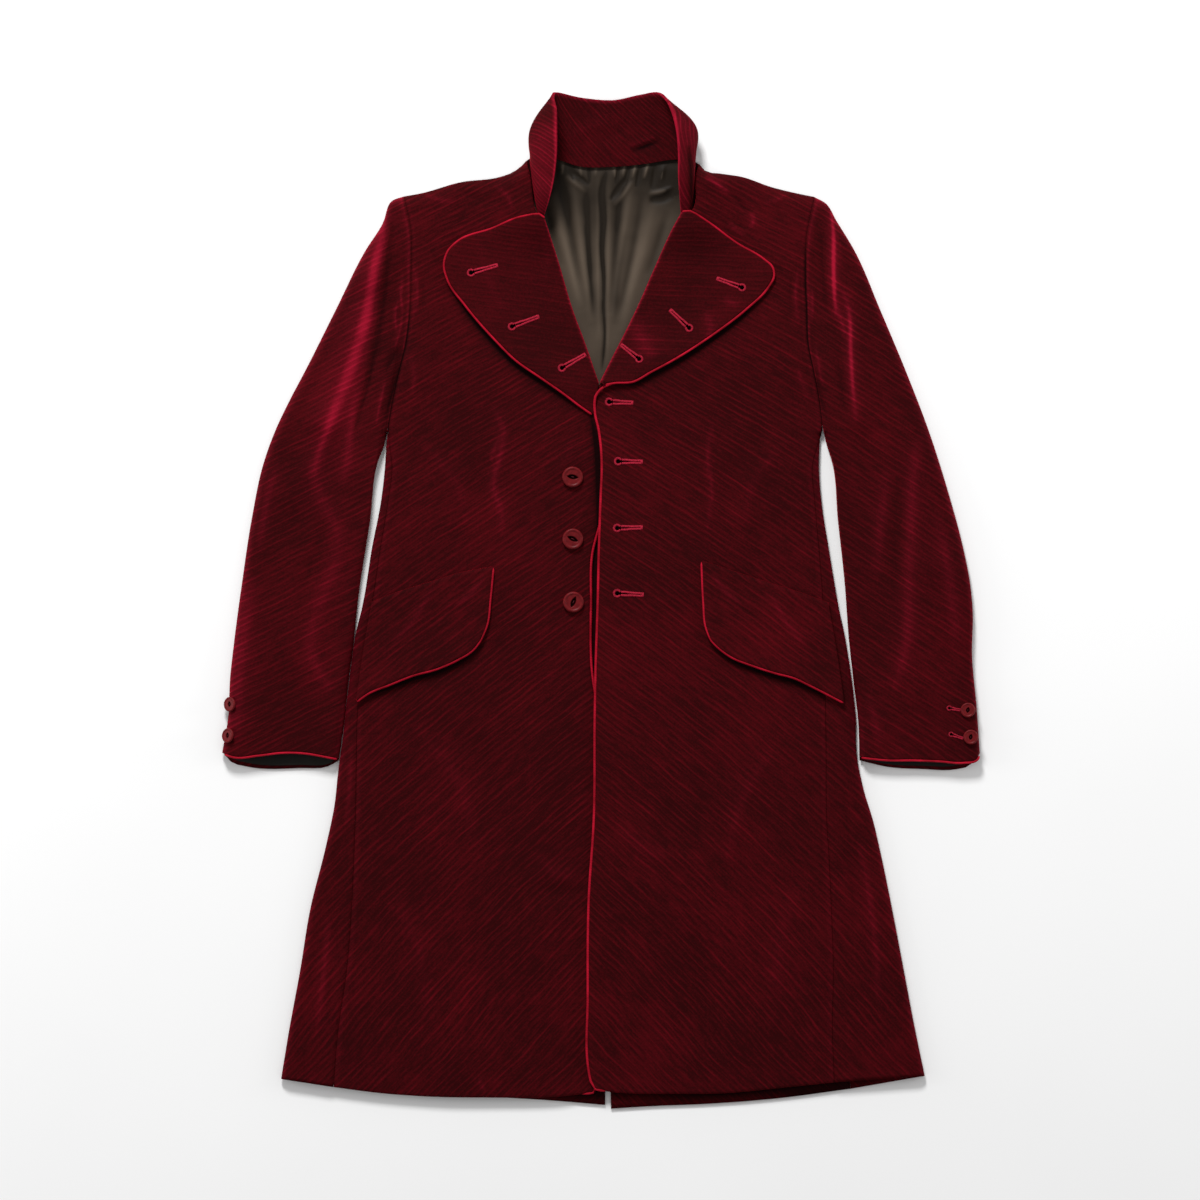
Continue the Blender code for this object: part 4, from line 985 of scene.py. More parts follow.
def side_piece(side, look):
    """The side of the body, from the front seam round the fold to the back seam."""
    sign = SIGN[side]
    hem_y = SIDE_FOLD_HEM[side]
    share = np.linspace(0.0, SIDE_SHARE, 170)[:, None]
    front_seam = outer_edge(side, FRONT_SEAM_COLUMN)(share)
    back_seam = outer_edge(side, BACK_SEAM_COLUMN)(share)
    top_y = (front_seam[-1, 0, 1] + back_seam[-1, 0, 1]) / 2
    fold_y = hem_y + (top_y - hem_y) * share / SIDE_SHARE
    beyond_seam = np.abs(fold_x(side)(fold_y) - front_seam[..., 0]) - SEAM_GAP
    inward = (beyond_seam - 0.4) * (1.0 - smoothstep((top_y - fold_y) / SIDE_TAPER))
    to_fold = np.linspace(1.0, 0.0, 26)
    from_fold = np.linspace(0.0, 1.0, 18)[1:]
    parts = []
    for seam, ends in ((front_seam, to_fold), (back_seam, from_fold)):
        y = fold_y + (seam[..., 1] - fold_y) * ends**2
        fold = fold_x(side)(y) + sign * (touching(y) - inward)
        reach = (np.abs(fold - seam[..., 0]) - SEAM_GAP) * ends**2
        x = fold - sign * reach
        if ends is to_fold:
            rise, rub_and_painted_light = creased(x, y, SIDE_CREASES[side])
            # Painted highlight along the side fold, where the cloth turns away
            rub_and_painted_light = rub_and_painted_light + 0.35 * bell(reach, 3.5)
            seam_dip = 0.5 * bell(reach.max(axis=1, keepdims=True) - reach, 2.0)
            z = body_top(x, y, side) + rise * rounded(reach, BODY_ROLL) - seam_dip
        else:
            rub_and_painted_light = np.zeros_like(x)
            z = LOWER_SEAM * (1.0 - rounded(reach, UNDER_ROLL))
        parts.append(np.stack([x, y, z, rub_and_painted_light], axis=-1))
    whole = np.concatenate(parts, axis=1)
    points = whole[..., :3]
    rub_and_painted_light = whole[..., 3]
    ribs = body_grain(points[..., 0], points[..., 1], side)
    return panel(f"side_{side}", points, ribs, rub_and_painted_light, SIDE_WALL, -1.0, side == "right", look)


def sleeve_plan(side, cuff, v, inner, edge_steps):
    """Plan points of a sleeve's panel, and how far each lies from its outer and inner edge."""
    seam = []
    for x, y in ARMHOLE[side][::-1]:
        gap = ARMHOLE_GAP + UNDERARM_GAP * smoothstep((204.0 - y) / 26.0)
        seam.append((x + SIGN[side] * gap, y))
    near = curve(SLEEVE_OUTER[side])
    far = curve([(x - SIGN[side] * touching(y), y) for x, y in SLEEVE_INNER[side]])
    u, v, width = shares(v, near, far, inner, edge_steps, edge_steps)
    plan = patch(curve(seam), curve(cuff[side]), near, far, u, v)
    return plan, u * width[:, None], (1.0 - u) * width[:, None], v


def sleeve_upper(side, look):
    v = np.concatenate([ARMHOLE_ROWS, np.linspace(0.0055, 0.9955, 215), CUFF_ROWS])
    plan, from_outer, from_inner, v = sleeve_plan(side, CUFF_TOP, v, 42, SLEEVE_EDGE_STEPS)
    x = plan[..., 0]
    y = plan[..., 1]
    from_armhole = v * SLEEVE_LENGTH
    mix = smoothstep(from_armhole / SLEEVE_BLEND)
    share = rounded(from_outer, BODY_ROLL) * rounded(from_inner, 4.0 + 6.0 * mix)
    height = UPPER_SEAM + (sleeve_top(x, y, side) - UPPER_SEAM) * share
    start = UPPER_SEAM + (body_top(x, y, side) - UPPER_SEAM) * share
    rise, rub_and_painted_light = creased(x, y, SLEEVE_CREASES[side])
    seam_dip = 0.6 * bell(from_armhole, 2.2)
    height = start + (height - start) * mix
    height = height + (rise - seam_dip - edge_drop((1.0 - v) * 600.0)) * share
    # Painted shade along the armhole seam, deeper low down, a painted highlight just beside that seam, and
    # painted highlights along the outer edge and near the inner edge
    shade = 0.25 + 1.15 * smoothstep((ARMHOLE_SHADE_TOP[side] - y) / 40.0)
    rub_and_painted_light = rub_and_painted_light + 0.35 * bell(from_armhole - 4.0, 2.2) - shade * bell(from_armhole, 1.7)
    rub_and_painted_light = rub_and_painted_light + 0.55 * bell(from_outer, 4.0) + 0.15 * bell(from_inner - 2.6, 2.2)
    points = np.stack([x, y, height], axis=-1)
    ribs = grain(x, y, side, SLEEVE_RIB_TURN[side], RIB_PITCH)
    also = [f"sleeve_forearm_{side}"]
    name = f"sleeve_upper_{side}"
    flip = side == "right"
    return panel(name, points, ribs, rub_and_painted_light, SLEEVE_WALL, -1.0, flip, look, also=also)


def sleeve_under(side, look):
    v = np.concatenate([[0.0], np.linspace(0.01, 1.0, 90)])
    steps = [0.0, 0.02, 0.4, 1.2, 2.4, 4.4]
    plan, from_outer, from_inner, v = sleeve_plan(side, CUFF_UNDER, v, 14, steps)
    mix = smoothstep(v * SLEEVE_LENGTH / SLEEVE_BLEND)
    at_inner = (1.0 - rounded(from_inner, UNDER_ROLL)) * mix
    height = LOWER_SEAM * np.maximum(1.0 - rounded(from_outer, UNDER_ROLL), at_inner)
    points = np.concatenate([plan, height[..., None]], axis=-1)
    ribs = grain(plan[..., 0], plan[..., 1], side, UNDER_RIB_TURN, RIB_PITCH)
    rub_and_painted_light = np.zeros_like(height)
    name = f"sleeve_under_{side}"
    return panel(name, points, ribs, rub_and_painted_light, SLEEVE_WALL, 1.0, side == "right", look)


def cuff_lining(side, look):
    plan, _, _, _ = sleeve_plan(side, CUFF_UNDER, np.linspace(0.935, 0.993, 24), 44, [7.0])
    x = plan[..., 0]
    y = plan[..., 1]
    pleats = 0.35 * np.sin(x / 4.1) * np.sin(x / 17.0 + 1.0)
    points = np.stack([x, y, SLEEVE_WALL + 0.8 + pleats], axis=-1)
    rub_and_painted_light = np.zeros_like(x)
    name = f"cuff_lining_{side}"
    flip = side == "right"
    return panel(name, points, satin_grain(x, y), rub_and_painted_light, LINING_WALL, 1.0, flip, look, "lining")


def lapel_stand(from_edge, y):
    """How far a lapel's free edge stands off the front, most of all low down."""
    stand = LAPEL_STAND + LAPEL_STAND_LOW * smoothstep((330.0 - y) / 90.0)
    return stand * smoothstep((y - 196.0) / 34.0) * bell(from_edge, LAPEL_STAND_WIDTH)


def lapel(side, look):
    roll = LAPEL_ROLL_LINE[side]
    edge = LAPEL_EDGE[side]
    near = curve(roll)
    far = curve(edge)
    v = np.concatenate([[0.0, 0.002, 0.005], np.linspace(0.01, 0.99, 96), [0.995, 0.998, 1.0]])
    roll_steps = [0.0, 0.1, 0.4, 1.0, 1.8, 2.8, 4.0, 5.4]
    u, v, width = shares(v, near, far, 56, roll_steps, [0.0, 0.3, 0.8, 1.6, 2.6])
    plan = patch(curve([roll[0], edge[0]]), curve([roll[-1], edge[-1]]), near, far, u, v)
    x = plan[..., 0]
    y = plan[..., 1]
    from_roll = u * width[:, None]
    from_edge = (1.0 - u) * width[:, None]
    drop = LAPEL_DROP * (1.0 - rounded(from_roll, LAPEL_ROLL)) + edge_drop(from_edge)
    rise, rub_and_painted_light = creased(x, y, LAPEL_CREASES[side])
    height = body_top(x, y, side) + LAPEL_LIFT + rise - drop + lapel_stand(from_edge, y)
    points = np.stack([x, y, height], axis=-1)
    # Painted highlight along the roll line
    rub_and_painted_light = rub_and_painted_light + 1.1 * bell(from_roll, 1.6)
    ribs = grain(x, y, side, LAPEL_RIB_TURN[side], LAPEL_RIB_PITCH)
    return panel(f"lapel_{side}", points, ribs, rub_and_painted_light, WALL, -1.0, side == "right", look)


def flap(side, look):
    v = np.concatenate([[0.0, 0.002, 0.006, 0.012], np.linspace(0.02, 1.0, 78)])
    last = [0.982, 0.99, 0.996, 1.0]
    u = np.concatenate([[0.0, 0.004, 0.012, 0.022], np.linspace(0.035, 0.97, 50), last])
    u, v = np.meshgrid(u, v)
    ends = (curve(FLAP_TOP[side]), curve(FLAP_LOW[side]))
    plan = patch(curve(FLAP_FRONT[side]), curve(FLAP_END[side]), *ends, u, v)
    x = plan[..., 0]
    y = plan[..., 1]
    rise, rub_and_painted_light = creased(x, y, FLAP_CREASES[side])
    height = body_top(x, y, side) + FLAP_TOP_LIFT + FLAP_LIFT * u**2 + rise
    from_side = np.minimum(u, 1.0 - u) * FLAP_WIDTH
    height = height - edge_drop(np.minimum(from_side, v * FLAP_LENGTH))
    points = np.stack([x, y, height], axis=-1)
    # Painted shade along the flap's sewn top
    rub_and_painted_light = rub_and_painted_light - 0.15 * bell(u * FLAP_WIDTH, 3.0)
    ribs = body_grain(x, y, side)
    return panel(f"flap_{side}", points, ribs, rub_and_painted_light, FLAP_WALL, -1.0, side == "left", look)


def collar(look):
    rows = np.array(COLLAR, float)
    keys = np.arange(len(rows), dtype=float)
    station = np.linspace(0.0, keys[-1], COLLAR_STATIONS)
    stations = hermite(keys, rows, station)
    at_back = smoothstep((84.0 - np.abs(stations[:, 0] - 12.0)) / 12.0)
    stations[:, 1] -= COLLAR_LAP * at_back
    stations[:, 2] = np.maximum(stations[:, 2], COLLAR_LOW)
    across = np.linspace(0.0, 1.0, COLLAR_ROWS)[None, :, None]
    base = stations[:, None, 0:3]
    rim = stations[:, None, 3:6]
    belly = stations[:, None, 6:9]
    points = base + (rim - base) * across + belly * np.sin(math.pi * across)
    rise, rub_and_painted_light = creased(points[..., 0], points[..., 1], COLLAR_CREASES)
    points[..., 2] += rise
    station = station[:, None]
    # Painted highlight along the rim, and on both front ends of the collar
    rub_and_painted_light = rub_and_painted_light + 0.9 * smoothstep((across[..., 0] - 0.955) / 0.03)
    rub_and_painted_light = rub_and_painted_light + 0.42 * (1.0 - smoothstep((station - 3.6) / 1.4) + smoothstep((station - 12.4) / 1.4))
    along = np.linalg.norm(np.diff(points, axis=0), axis=2).cumsum(axis=0)
    along = np.concatenate([np.zeros((1, COLLAR_ROWS)), along])[:, 12:13]
    up = np.linalg.norm(np.diff(points, axis=1), axis=2).cumsum(axis=1)
    up = np.concatenate([np.zeros((COLLAR_STATIONS, 1)), up], axis=1)
    turn = math.radians(COLLAR_RIB_TURN)
    over_ribs = (along * math.sin(turn) + up * math.cos(turn)) / COLLAR_RIB_PITCH
    ribs = np.stack([over_ribs, (along * math.cos(turn) - up * math.sin(turn)) / 100.0], axis=-1)
    made = panel("collar", points, ribs, rub_and_painted_light, COLLAR_WALL, 0.0, False, look)
    round_rim = made.modifiers.new("Rim", "BEVEL")
    round_rim.width = 1.0 * MM
    round_rim.segments = 3
    round_rim.limit_method = "ANGLE"
    round_rim.angle_limit = math.radians(60.0)
    return made


def lining(look):
    v = np.linspace(0.0, 1.0, 150)
    near = curve(LINING_SIDE["right"])
    far = curve(LINING_SIDE["left"])
    u, v, _ = shares(v, near, far, 104, [0.0], [0.0])
    plan = patch(curve(LINING_LOW), curve(LINING_NECK), near, far, u, v)
    x = plan[..., 0]
    y = plan[..., 1] + LINING_TUCK * smoothstep((v - 0.9) / 0.1)
    folds = list(LINING_CREASES)
    for at, length, lean, width, height in LINING_GATHERS:
        line = [(at, 466), (at + 0.2 * lean, 458), (at + lean, 458 - length)]
        # Each gather is painted lighter where it rises and darker where it sinks
        folds.append((width, height, 0.34 * height, line))
    rise, rub_and_painted_light = creased(x, y, folds)
    rise = np.clip(rise, -LINING_DIP, LINING_RISE)
    # Painted light and shade: lighter where folds rise, darker where they sink, and painted shade towards the
    # neck under the collar
    rub_and_painted_light = rub_and_painted_light + 0.17 * rise - 0.06 - 0.4 * smoothstep((y - 360.0) / 80.0)
    tucked = smoothstep((v - 0.955) / 0.03)
    points = np.stack([x, y, LINING_TOP + rise * (1.0 - tucked) - 0.9 * tucked], axis=-1)
    ribs = satin_grain(x, y)
    name = "lining_back"
    return panel(name, points, ribs, rub_and_painted_light, LINING_WALL, -1.0, False, look, "lining")


def surface(piece):
    """The shown surface of a finished piece in millimetres, for what lies on it."""
    mesh = piece.evaluated_get(bpy.context.evaluated_depsgraph_get()).to_mesh()
    places = [piece.matrix_world @ vertex.co / MM for vertex in mesh.vertices]
    faces = [list(face.vertices) for face in mesh.polygons]
    return BVHTree.FromPolygons(places, faces)


def ring_faces(rings, sides):
    """Faces between rings of points that follow each other."""
    faces = []
    for i in range(rings - 1):
        for j in range(sides):
            k = (j + 1) % sides
            faces.append((i * sides + j, i * sides + k, (i + 1) * sides + k, (i + 1) * sides + j))
    return faces


def round_cord(line, radius, sides, tip):
    """Places and faces of a round cord through a line of points, with closed, thinner tips."""
    step = np.gradient(line, axis=0)
    step /= np.linalg.norm(step, axis=1)[:, None]
    beside = np.cross(step, [0.0, 0.0, 1.0])
    beside /= np.linalg.norm(beside, axis=1)[:, None] + 1e-9
    up = np.cross(beside, step)
    turns = np.linspace(0.0, 2 * math.pi, sides, endpoint=False)[None, :, None]
    thick = np.full(len(line), radius)
    thick[0] = thick[-1] = tip * radius
    ring = beside[:, None] * np.cos(turns) + up[:, None] * np.sin(turns)
    places = (line[:, None] + ring * thick[:, None, None]).reshape(-1, 3)
    last = (len(line) - 1) * sides
    ends = [tuple(range(sides))[::-1], tuple(last + j for j in range(sides))]
    return places, ring_faces(len(line), sides) + ends


def piping(plan, height, radius, look, node):
    """A piping cord through plan points at their heights, mapped round and along."""
    line = np.column_stack([plan, height])
    places, faces = round_cord(line, radius, CORD_SIDES, 0.45)
    made = built(f"cord_{node}", places, faces, look)
    along = np.concatenate([[0.0], np.linalg.norm(np.diff(line, axis=0), axis=1).cumsum()]) / 10.0
    spots = []
    for low, high in zip(along, along[1:]):
        for j in range(CORD_SIDES):
            near = j / CORD_SIDES
            far = (j + 1) / CORD_SIDES
            spots += [(near, low), (far, low), (far, high), (near, high)]
    for mapped, spot in zip(made.data.uv_layers.new(name="ribs").data, spots):
        mapped.uv = spot
    return dress(made, "piping", node)


def front_piping(side, look):
    """The cord round a front's lower corner and up its edge, on the left on to the lapel."""
    sign = SIGN[side]
    rim = rising_curve(FRONT_EDGE[side])(np.linspace(0.0, BREAK_SHARE[side], 260))
    height = body_top(rim[:, 0], rim[:, 1], side) - CORD_SINK["front"]
    plan = moved_out(rim, -sign * CORD_OUT["front"])
    if side == "left":
        height = height + 4.6 * smoothstep((rim[:, 1] - 196.0) / 18.0)
        plan = np.concatenate([plan, BREAK_JOIN])
        x, y = BREAK_JOIN[-1]
        high_end = body_top(np.array([x]), np.array([y]), side) + LAPEL_LIFT
        high_end = high_end - CORD_SINK["lapel"] + lapel_stand(0.0, y)
        climb = np.linspace(0.3, 1.0, len(BREAK_JOIN))
        height = np.concatenate([height, height[-1] + (high_end - height[-1]) * climb])
    hem = curve(FRONT_HEM[side])(np.array([0.05, 0.035, 0.02, 0.01]))
    corner = moved_out(hem, sign * 0.2)
    plan = np.concatenate([corner, plan[3:]])
    height = np.concatenate([np.full(len(corner), height[0]), height[3:]])
    return piping(plan, height, PIPING_RADIUS, look, f"piping_front_{side}")


def lapel_piping(side, look):
    corner = np.array(LAPEL_EDGE[side][-1], float)
    to_roll = np.array(LAPEL_ROLL_LINE[side][-1], float) - corner
    turned = corner + to_roll * np.array([0.12, 0.3, 0.5, 0.7, 0.9])[:, None]
    rim = np.concatenate([curve(LAPEL_EDGE[side])(np.linspace(0.003, 0.985, 170)), turned])
    x = rim[:, 0]
    y = rim[:, 1]
    height = body_top(x, y, side) + LAPEL_LIFT - CORD_SINK["lapel"] + lapel_stand(0.0, y)
    plan = moved_out(rim, SIGN[side] * CORD_OUT["lapel"])
    return piping(plan, height, TRIM_RADIUS, look, f"piping_lapel_{side}")


def flap_piping(side, look):
    front_end = np.linspace(0.0, 0.97, 30)
    lower = np.linspace(0.01, 1.0, 90)
    rim = np.concatenate([curve(FLAP_FRONT[side])(front_end), curve(FLAP_LOW[side])(lower)])
    lift = FLAP_LIFT * np.concatenate([front_end**2, np.ones(90)])
    height = body_top(rim[:, 0], rim[:, 1], side) + FLAP_TOP_LIFT - CORD_SINK["flap"] + lift
    plan = moved_out(rim, SIGN[side] * CORD_OUT["flap"])
    return piping(plan, height, PIPING_RADIUS, look, f"piping_flap_{side}")


def cuff_piping(side, look):
    share = np.linspace(0.025, 0.985, 90)
    rim = curve(CUFF_TOP[side])(share)
    width = np.linalg.norm(rim[-1] - rim[0])
    roll = rounded(share * width, BODY_ROLL) * rounded((1.0 - share) * width, BODY_ROLL)
    top = sleeve_top(rim[:, 0], rim[:, 1], side)
    height = UPPER_SEAM + (top - UPPER_SEAM) * roll - CORD_SINK["cuff"]
    plan = moved_out(rim, -SIGN[side] * CORD_OUT["cuff"])
    return piping(plan, height, TRIM_RADIUS, look, f"piping_cuff_{side}")


def pose_of(node):
    """Radius, foot, height and facing of a button, read from its solid."""
    places = np.array([vertex.co for vertex in node.data.vertices]) / MM
    centre = (places.min(axis=0) + places.max(axis=0)) / 2
    centre = places.mean(axis=0) if np.ptp(places[:, 2]) > 6 else centre
    facing = np.linalg.svd(places - places.mean(axis=0), full_matrices=False)[2][2]
    facing = facing * np.sign(facing[2])
    rise = (places - centre) @ facing
    out = places - centre - rise[:, None] * facing
    radius = np.linalg.norm(out - (out.max(axis=0) + out.min(axis=0)) / 2, axis=1).max()
    return radius, centre + facing * rise.min(), rise.max() - rise.min(), facing


def button(name, look, thread_look):
    """A dished button with a rounded rim, a hollow round its two holes, and its thread."""
    radius, foot, height, facing = pose_of(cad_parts[name])
    eye_length, eye_width = EYE_SIZE["front" if "front" in name else "cuff"]
    profile = BUTTON_PROFILE + [(share, 0.79) for share in np.linspace(0.66, 0.0, BUTTON_RINGS)[:-1]]
    places = []
    hollows = []
    for share, level in profile:
        for turn in np.linspace(0.0, 2 * math.pi, BUTTON_SIDES, endpoint=False):
            x = share * math.cos(turn)
            y = share * math.sin(turn)
            lens = max(0.0, 1.0 - (x / eye_length) ** 2) * eye_width
            deep = float(smoothstep((lens - abs(y)) / 0.11)) if share < 0.67 and level > 0.5 else 0.0
            hollows.append(deep)
            places.append((x * radius, y * radius, (level - 0.5 * deep) * height))
    foot_corner = len(places)
    hollows += [0.0, 1.0]
    places += [(0.0, 0.0, 0.0), (0.0, 0.0, DISH_FLOOR * height)]
    faces = ring_faces(len(profile), BUTTON_SIDES)
    inner = (len(profile) - 1) * BUTTON_SIDES
    for j in range(BUTTON_SIDES):
        k = (j + 1) % BUTTON_SIDES
        faces.append((foot_corner, k, j))
        faces.append((foot_corner + 1, inner + j, inner + k))
    made = built(f"turned_{name}", places, faces, look)
    mark(made, "hollow", hollows)
    facing = Vector(facing)
    across = Vector((0.0, 1.0, 0.0)).cross(facing).normalized()
    axes = Matrix((across, facing.cross(across), facing)).transposed()
    pose = Matrix.Translation(Vector(foot) * MM) @ axes.to_4x4()
    pose = pose @ Matrix.Rotation(math.radians(BUTTON_TURNS[name]), 4, "Z")
    made.data.transform(pose)
    dress(made, "button", name)
    line = []
    for share in np.linspace(-1.0, 1.0, 15):
        sag = 0.1 * (1.0 - share**2) - 0.35 * abs(share) ** 3
        line.append((share * 0.2 * radius, 0.0, (DISH_FLOOR + sag) * height))
    places, faces = thread(np.array(line), 0.045 * radius)
    places = np.array([tuple(pose @ Vector(place * MM) / MM) for place in places])
    stitches(f"thread_{name}", [(places, faces)], thread_look)


def thread(line, radius):
    return round_cord(line, radius, THREAD_SIDES, 0.3)


def stitches(name, threads, look):
    """Many threads as one piece."""
    places = []
    faces = []
    for part, part_faces in threads:
        first = len(places)
        places += list(part)
        faces += [tuple(first + corner for corner in face) for face in part_faces]
    return dress(built(name, places, faces, look), "piping")


def buttonhole(name, eyelet, bar, under, size, thread_look, slit_shadow_look):
    """A keyhole buttonhole: a slit with an eyelet, closely stitched all round, and a bar, with a sheet of
    painted shadow in the opening.
    """
    eyelet = np.array(eyelet, float)
    bar = np.array(bar, float)
    length = np.linalg.norm(bar - eyelet)
    run = (bar - eyelet) / length
    beside = np.array([-run[1], run[0]])
    pitch = STITCH_PITCH * size
    bite = STITCH_BITE * size
    eye = EYELET_SIZE * size
    threads = []

    def lie(points, lift):
        """Points laid on the cloth below them."""
        placed = []
        for x, y in points:
            hit = under.ray_cast(Vector((x, y, 100.0)), Vector((0.0, 0.0, -1.0)))[0]
            placed.append((x, y, hit.z + lift))
        return np.array(placed)

    def stitch(start, end):
        middle = (start + end) / 2
        line = [start, (start + middle) / 2, middle, (end + middle) / 2, end]
        line = lie(line, 0.1)
        line[:, 2] += np.array(STITCH_ARCH) * size
        threads.append(thread(line, 0.36 * size))

    for along in np.arange(eye * 1.1, length, pitch):
        for sign in (-1.0, 1.0):
            opening = 0.4 * (1.0 - smoothstep((along / length - 0.3) / 0.35))
            root = eyelet + run * along + beside * sign * opening * size
            stitch(root, root + beside * sign * bite)
    for turn in np.linspace(0.2 * math.pi, 1.8 * math.pi, 20):
        way = run * math.cos(turn) + beside * math.sin(turn)
        stitch(eyelet + way * eye * 0.55, eyelet + way * (eye * 0.55 + bite))
    for along in (0.0, pitch, 2 * pitch):
        end = bar + run * along
        stitch(end - beside * bite, end + beside * bite)
    stitches(name, threads, thread_look)
    # A dark sheet under the stitches, painted as the shadow in the open slit and eyelet
    outline = [eyelet]
    for turn in np.linspace(0.2 * math.pi, 1.8 * math.pi, 13):
        outline.append(eyelet + (run * math.cos(turn) + beside * math.sin(turn)) * eye * 0.62)
    outline.append(eyelet + run * 0.55 * length)
    rim = len(outline) - 1
    faces = [(0, i + 1, (i + 1) % rim + 1) for i in range(rim)]
    dress(built(f"slit_{name}", lie(outline, 0.12), faces, slit_shadow_look, smooth=False), "velvet")


def feed(socket, value):
    """Links a socket to another's output, or sets the number or colour in it."""
    if isinstance(value, bpy.types.NodeSocket):
        socket.id_data.links.new(value, socket)
    else:
        socket.default_value = value


def calc(operation, *values):
    """Output of a Math node fed with sockets or numbers."""
    tree = next(value.id_data for value in values if isinstance(value, bpy.types.NodeSocket))
    made = tree.nodes.new("ShaderNodeMath")
    made.operation = operation
    for socket, value in zip(made.inputs, values):
        feed(socket, value)
    return made.outputs[0]


def plus(first, *others):
    for other in others:
        first = calc("ADD", first, other)
    return first


def minus(value, less):
    return calc("SUBTRACT", value, less)


def times(value, factor):
    return calc("MULTIPLY", value, factor)


def held(value):
    """A value held between 0 and 1."""
    return calc("MINIMUM", calc("MAXIMUM", value, 0.0), 1.0)


def wave(value):
    """A sine that rises and falls once for each whole step of a value."""
    return calc("SINE", times(value, 2 * math.pi))


def noise(spots, scale, detail=2.0, roughness=0.5):
    made = spots.id_data.nodes.new("ShaderNodeTexNoise")
    feed(made.inputs["Scale"], scale)
    feed(made.inputs["Detail"], detail)
    feed(made.inputs["Roughness"], roughness)
    feed(made.inputs["Vector"], spots)
    return made.outputs["Fac"]


def spread(value, low, high):
    """A value stretched from low..high to 0..1 and held there."""
    made = value.id_data.nodes.new("ShaderNodeMapRange")
    feed(made.inputs["From Min"], low)
    feed(made.inputs["From Max"], high)
    feed(made.inputs["Value"], value)
    return made.outputs["Result"]


def blended(factor, low, high):
    """A colour between two others, each a socket or three numbers."""
    made = factor.id_data.nodes.new("ShaderNodeMix")
    made.data_type = "RGBA"
    feed(made.inputs[0], factor)
    for socket, colour in ((made.inputs[6], low), (made.inputs[7], high)):
        feed(socket, (*colour, 1.0) if isinstance(colour, tuple) else colour)
    return made.outputs[2]


def joined(x, y, z):
    made = x.id_data.nodes.new("ShaderNodeCombineXYZ")
    for socket, value in zip(made.inputs, (x, y, z)):
        feed(socket, value)
    return made.outputs[0]


def bumped(height, distance, strength, below=None):
    made = height.id_data.nodes.new("ShaderNodeBump")
    feed(made.inputs["Distance"], distance)
    feed(made.inputs["Strength"], strength)
    feed(made.inputs["Height"], height)
    if below is not None:
        feed(made.inputs["Normal"], below)
    return made.outputs["Normal"]


def finish(name, rough, shine):
    """A new material, the inputs of its shader, and the place of each spot on the piece."""
    look = bpy.data.materials.new(name)
    look.use_nodes = True
    shader = look.node_tree.nodes["Principled BSDF"].inputs
    feed(shader["Roughness"], rough)
    feed(shader["Specular IOR Level"], shine)
    spots = look.node_tree.nodes.new("ShaderNodeTexCoord").outputs["Object"]
    return look, shader, spots


def rib_axes(look):
    """Map coordinates across and along the ribs."""
    mapped = look.node_tree.nodes.new("ShaderNodeUVMap")
    mapped.uv_map = "ribs"
    parts = look.node_tree.nodes.new("ShaderNodeSeparateXYZ")
    feed(parts.inputs[0], mapped.outputs[0])
    return parts.outputs[0], parts.outputs[1]


def marked(look, name):
    """The number that mark() wrote on the piece."""
    made = look.node_tree.nodes.new("ShaderNodeAttribute")
    made.attribute_name = name
    return made.outputs["Fac"]


def velvet(name, ribbed):
    """Corded velvet: narrow raised ribs of uneven brightness, with painted highlights along creases and edges
    that also stand for rubbed pile, and painted shade.
    """
    look, shader, spots = finish(name, 0.82, 0.025)
    across, along = rib_axes(look)
    across = plus(across, times(minus(noise(spots, 14.0), 0.5), 1.1))
    rib = plus(times(wave(across), 0.5), 0.5)
    each = noise(joined(across, times(along, 1.1), 0.0), 0.83, 4.0, 0.7)
    streak = spread(each, 0.38, 0.66)
    thin = noise(joined(times(across, 3.3), times(along, 5.0), 7.0), 1.0)
    cloud = spread(noise(spots, 8.0, 4.0, 0.6), 0.36, 0.68)
    fleck = spread(noise(spots, 460.0, 3.0, 0.7), 0.3, 0.75)
    painted_light_and_rub = marked(look, "rub_and_painted_light")
    ribs = times(calc("POWER", rib, 3.4), plus(times(streak, 0.95), 0.05))
    shown = plus(times(ribs, 0.4 * ribbed), times(streak, 0.06))
    shown = plus(shown, times(minus(thin, 0.5), 0.75 * ribbed), times(cloud, 0.2))
    shown = plus(shown, times(minus(fleck, 0.5), 0.3))
    colour = blended(held(shown), PILE_DARK, PILE_LIGHT)
    # Painted highlight where the marked number is above nought, strongest on the ribs, and painted shade
    # where it is below nought
    highlight_share = plus(times(ribs, 0.75), times(fleck, 0.2), 0.12, times(each, 0.28))
    solid_highlight = calc("MAXIMUM", minus(painted_light_and_rub, 0.5), 0.0)
    highlight_share = plus(times(painted_light_and_rub, highlight_share), times(solid_highlight, 0.5))
    colour = blended(held(highlight_share), colour, PILE_RUBBED_AND_HIGHLIGHT)
    colour = blended(held(times(painted_light_and_rub, -0.9)), colour, PILE_PAINTED_SHADE)
    feed(shader["Base Color"], colour)
    feed(shader["Sheen Weight"], 0.3)
    feed(shader["Sheen Roughness"], 0.3)
    feed(shader["Sheen Tint"], (*SHEEN, 1.0))
    feed(shader["Normal"], bumped(rib, 0.0003, 0.42, bumped(fleck, 0.00016, 0.7)))
    return look


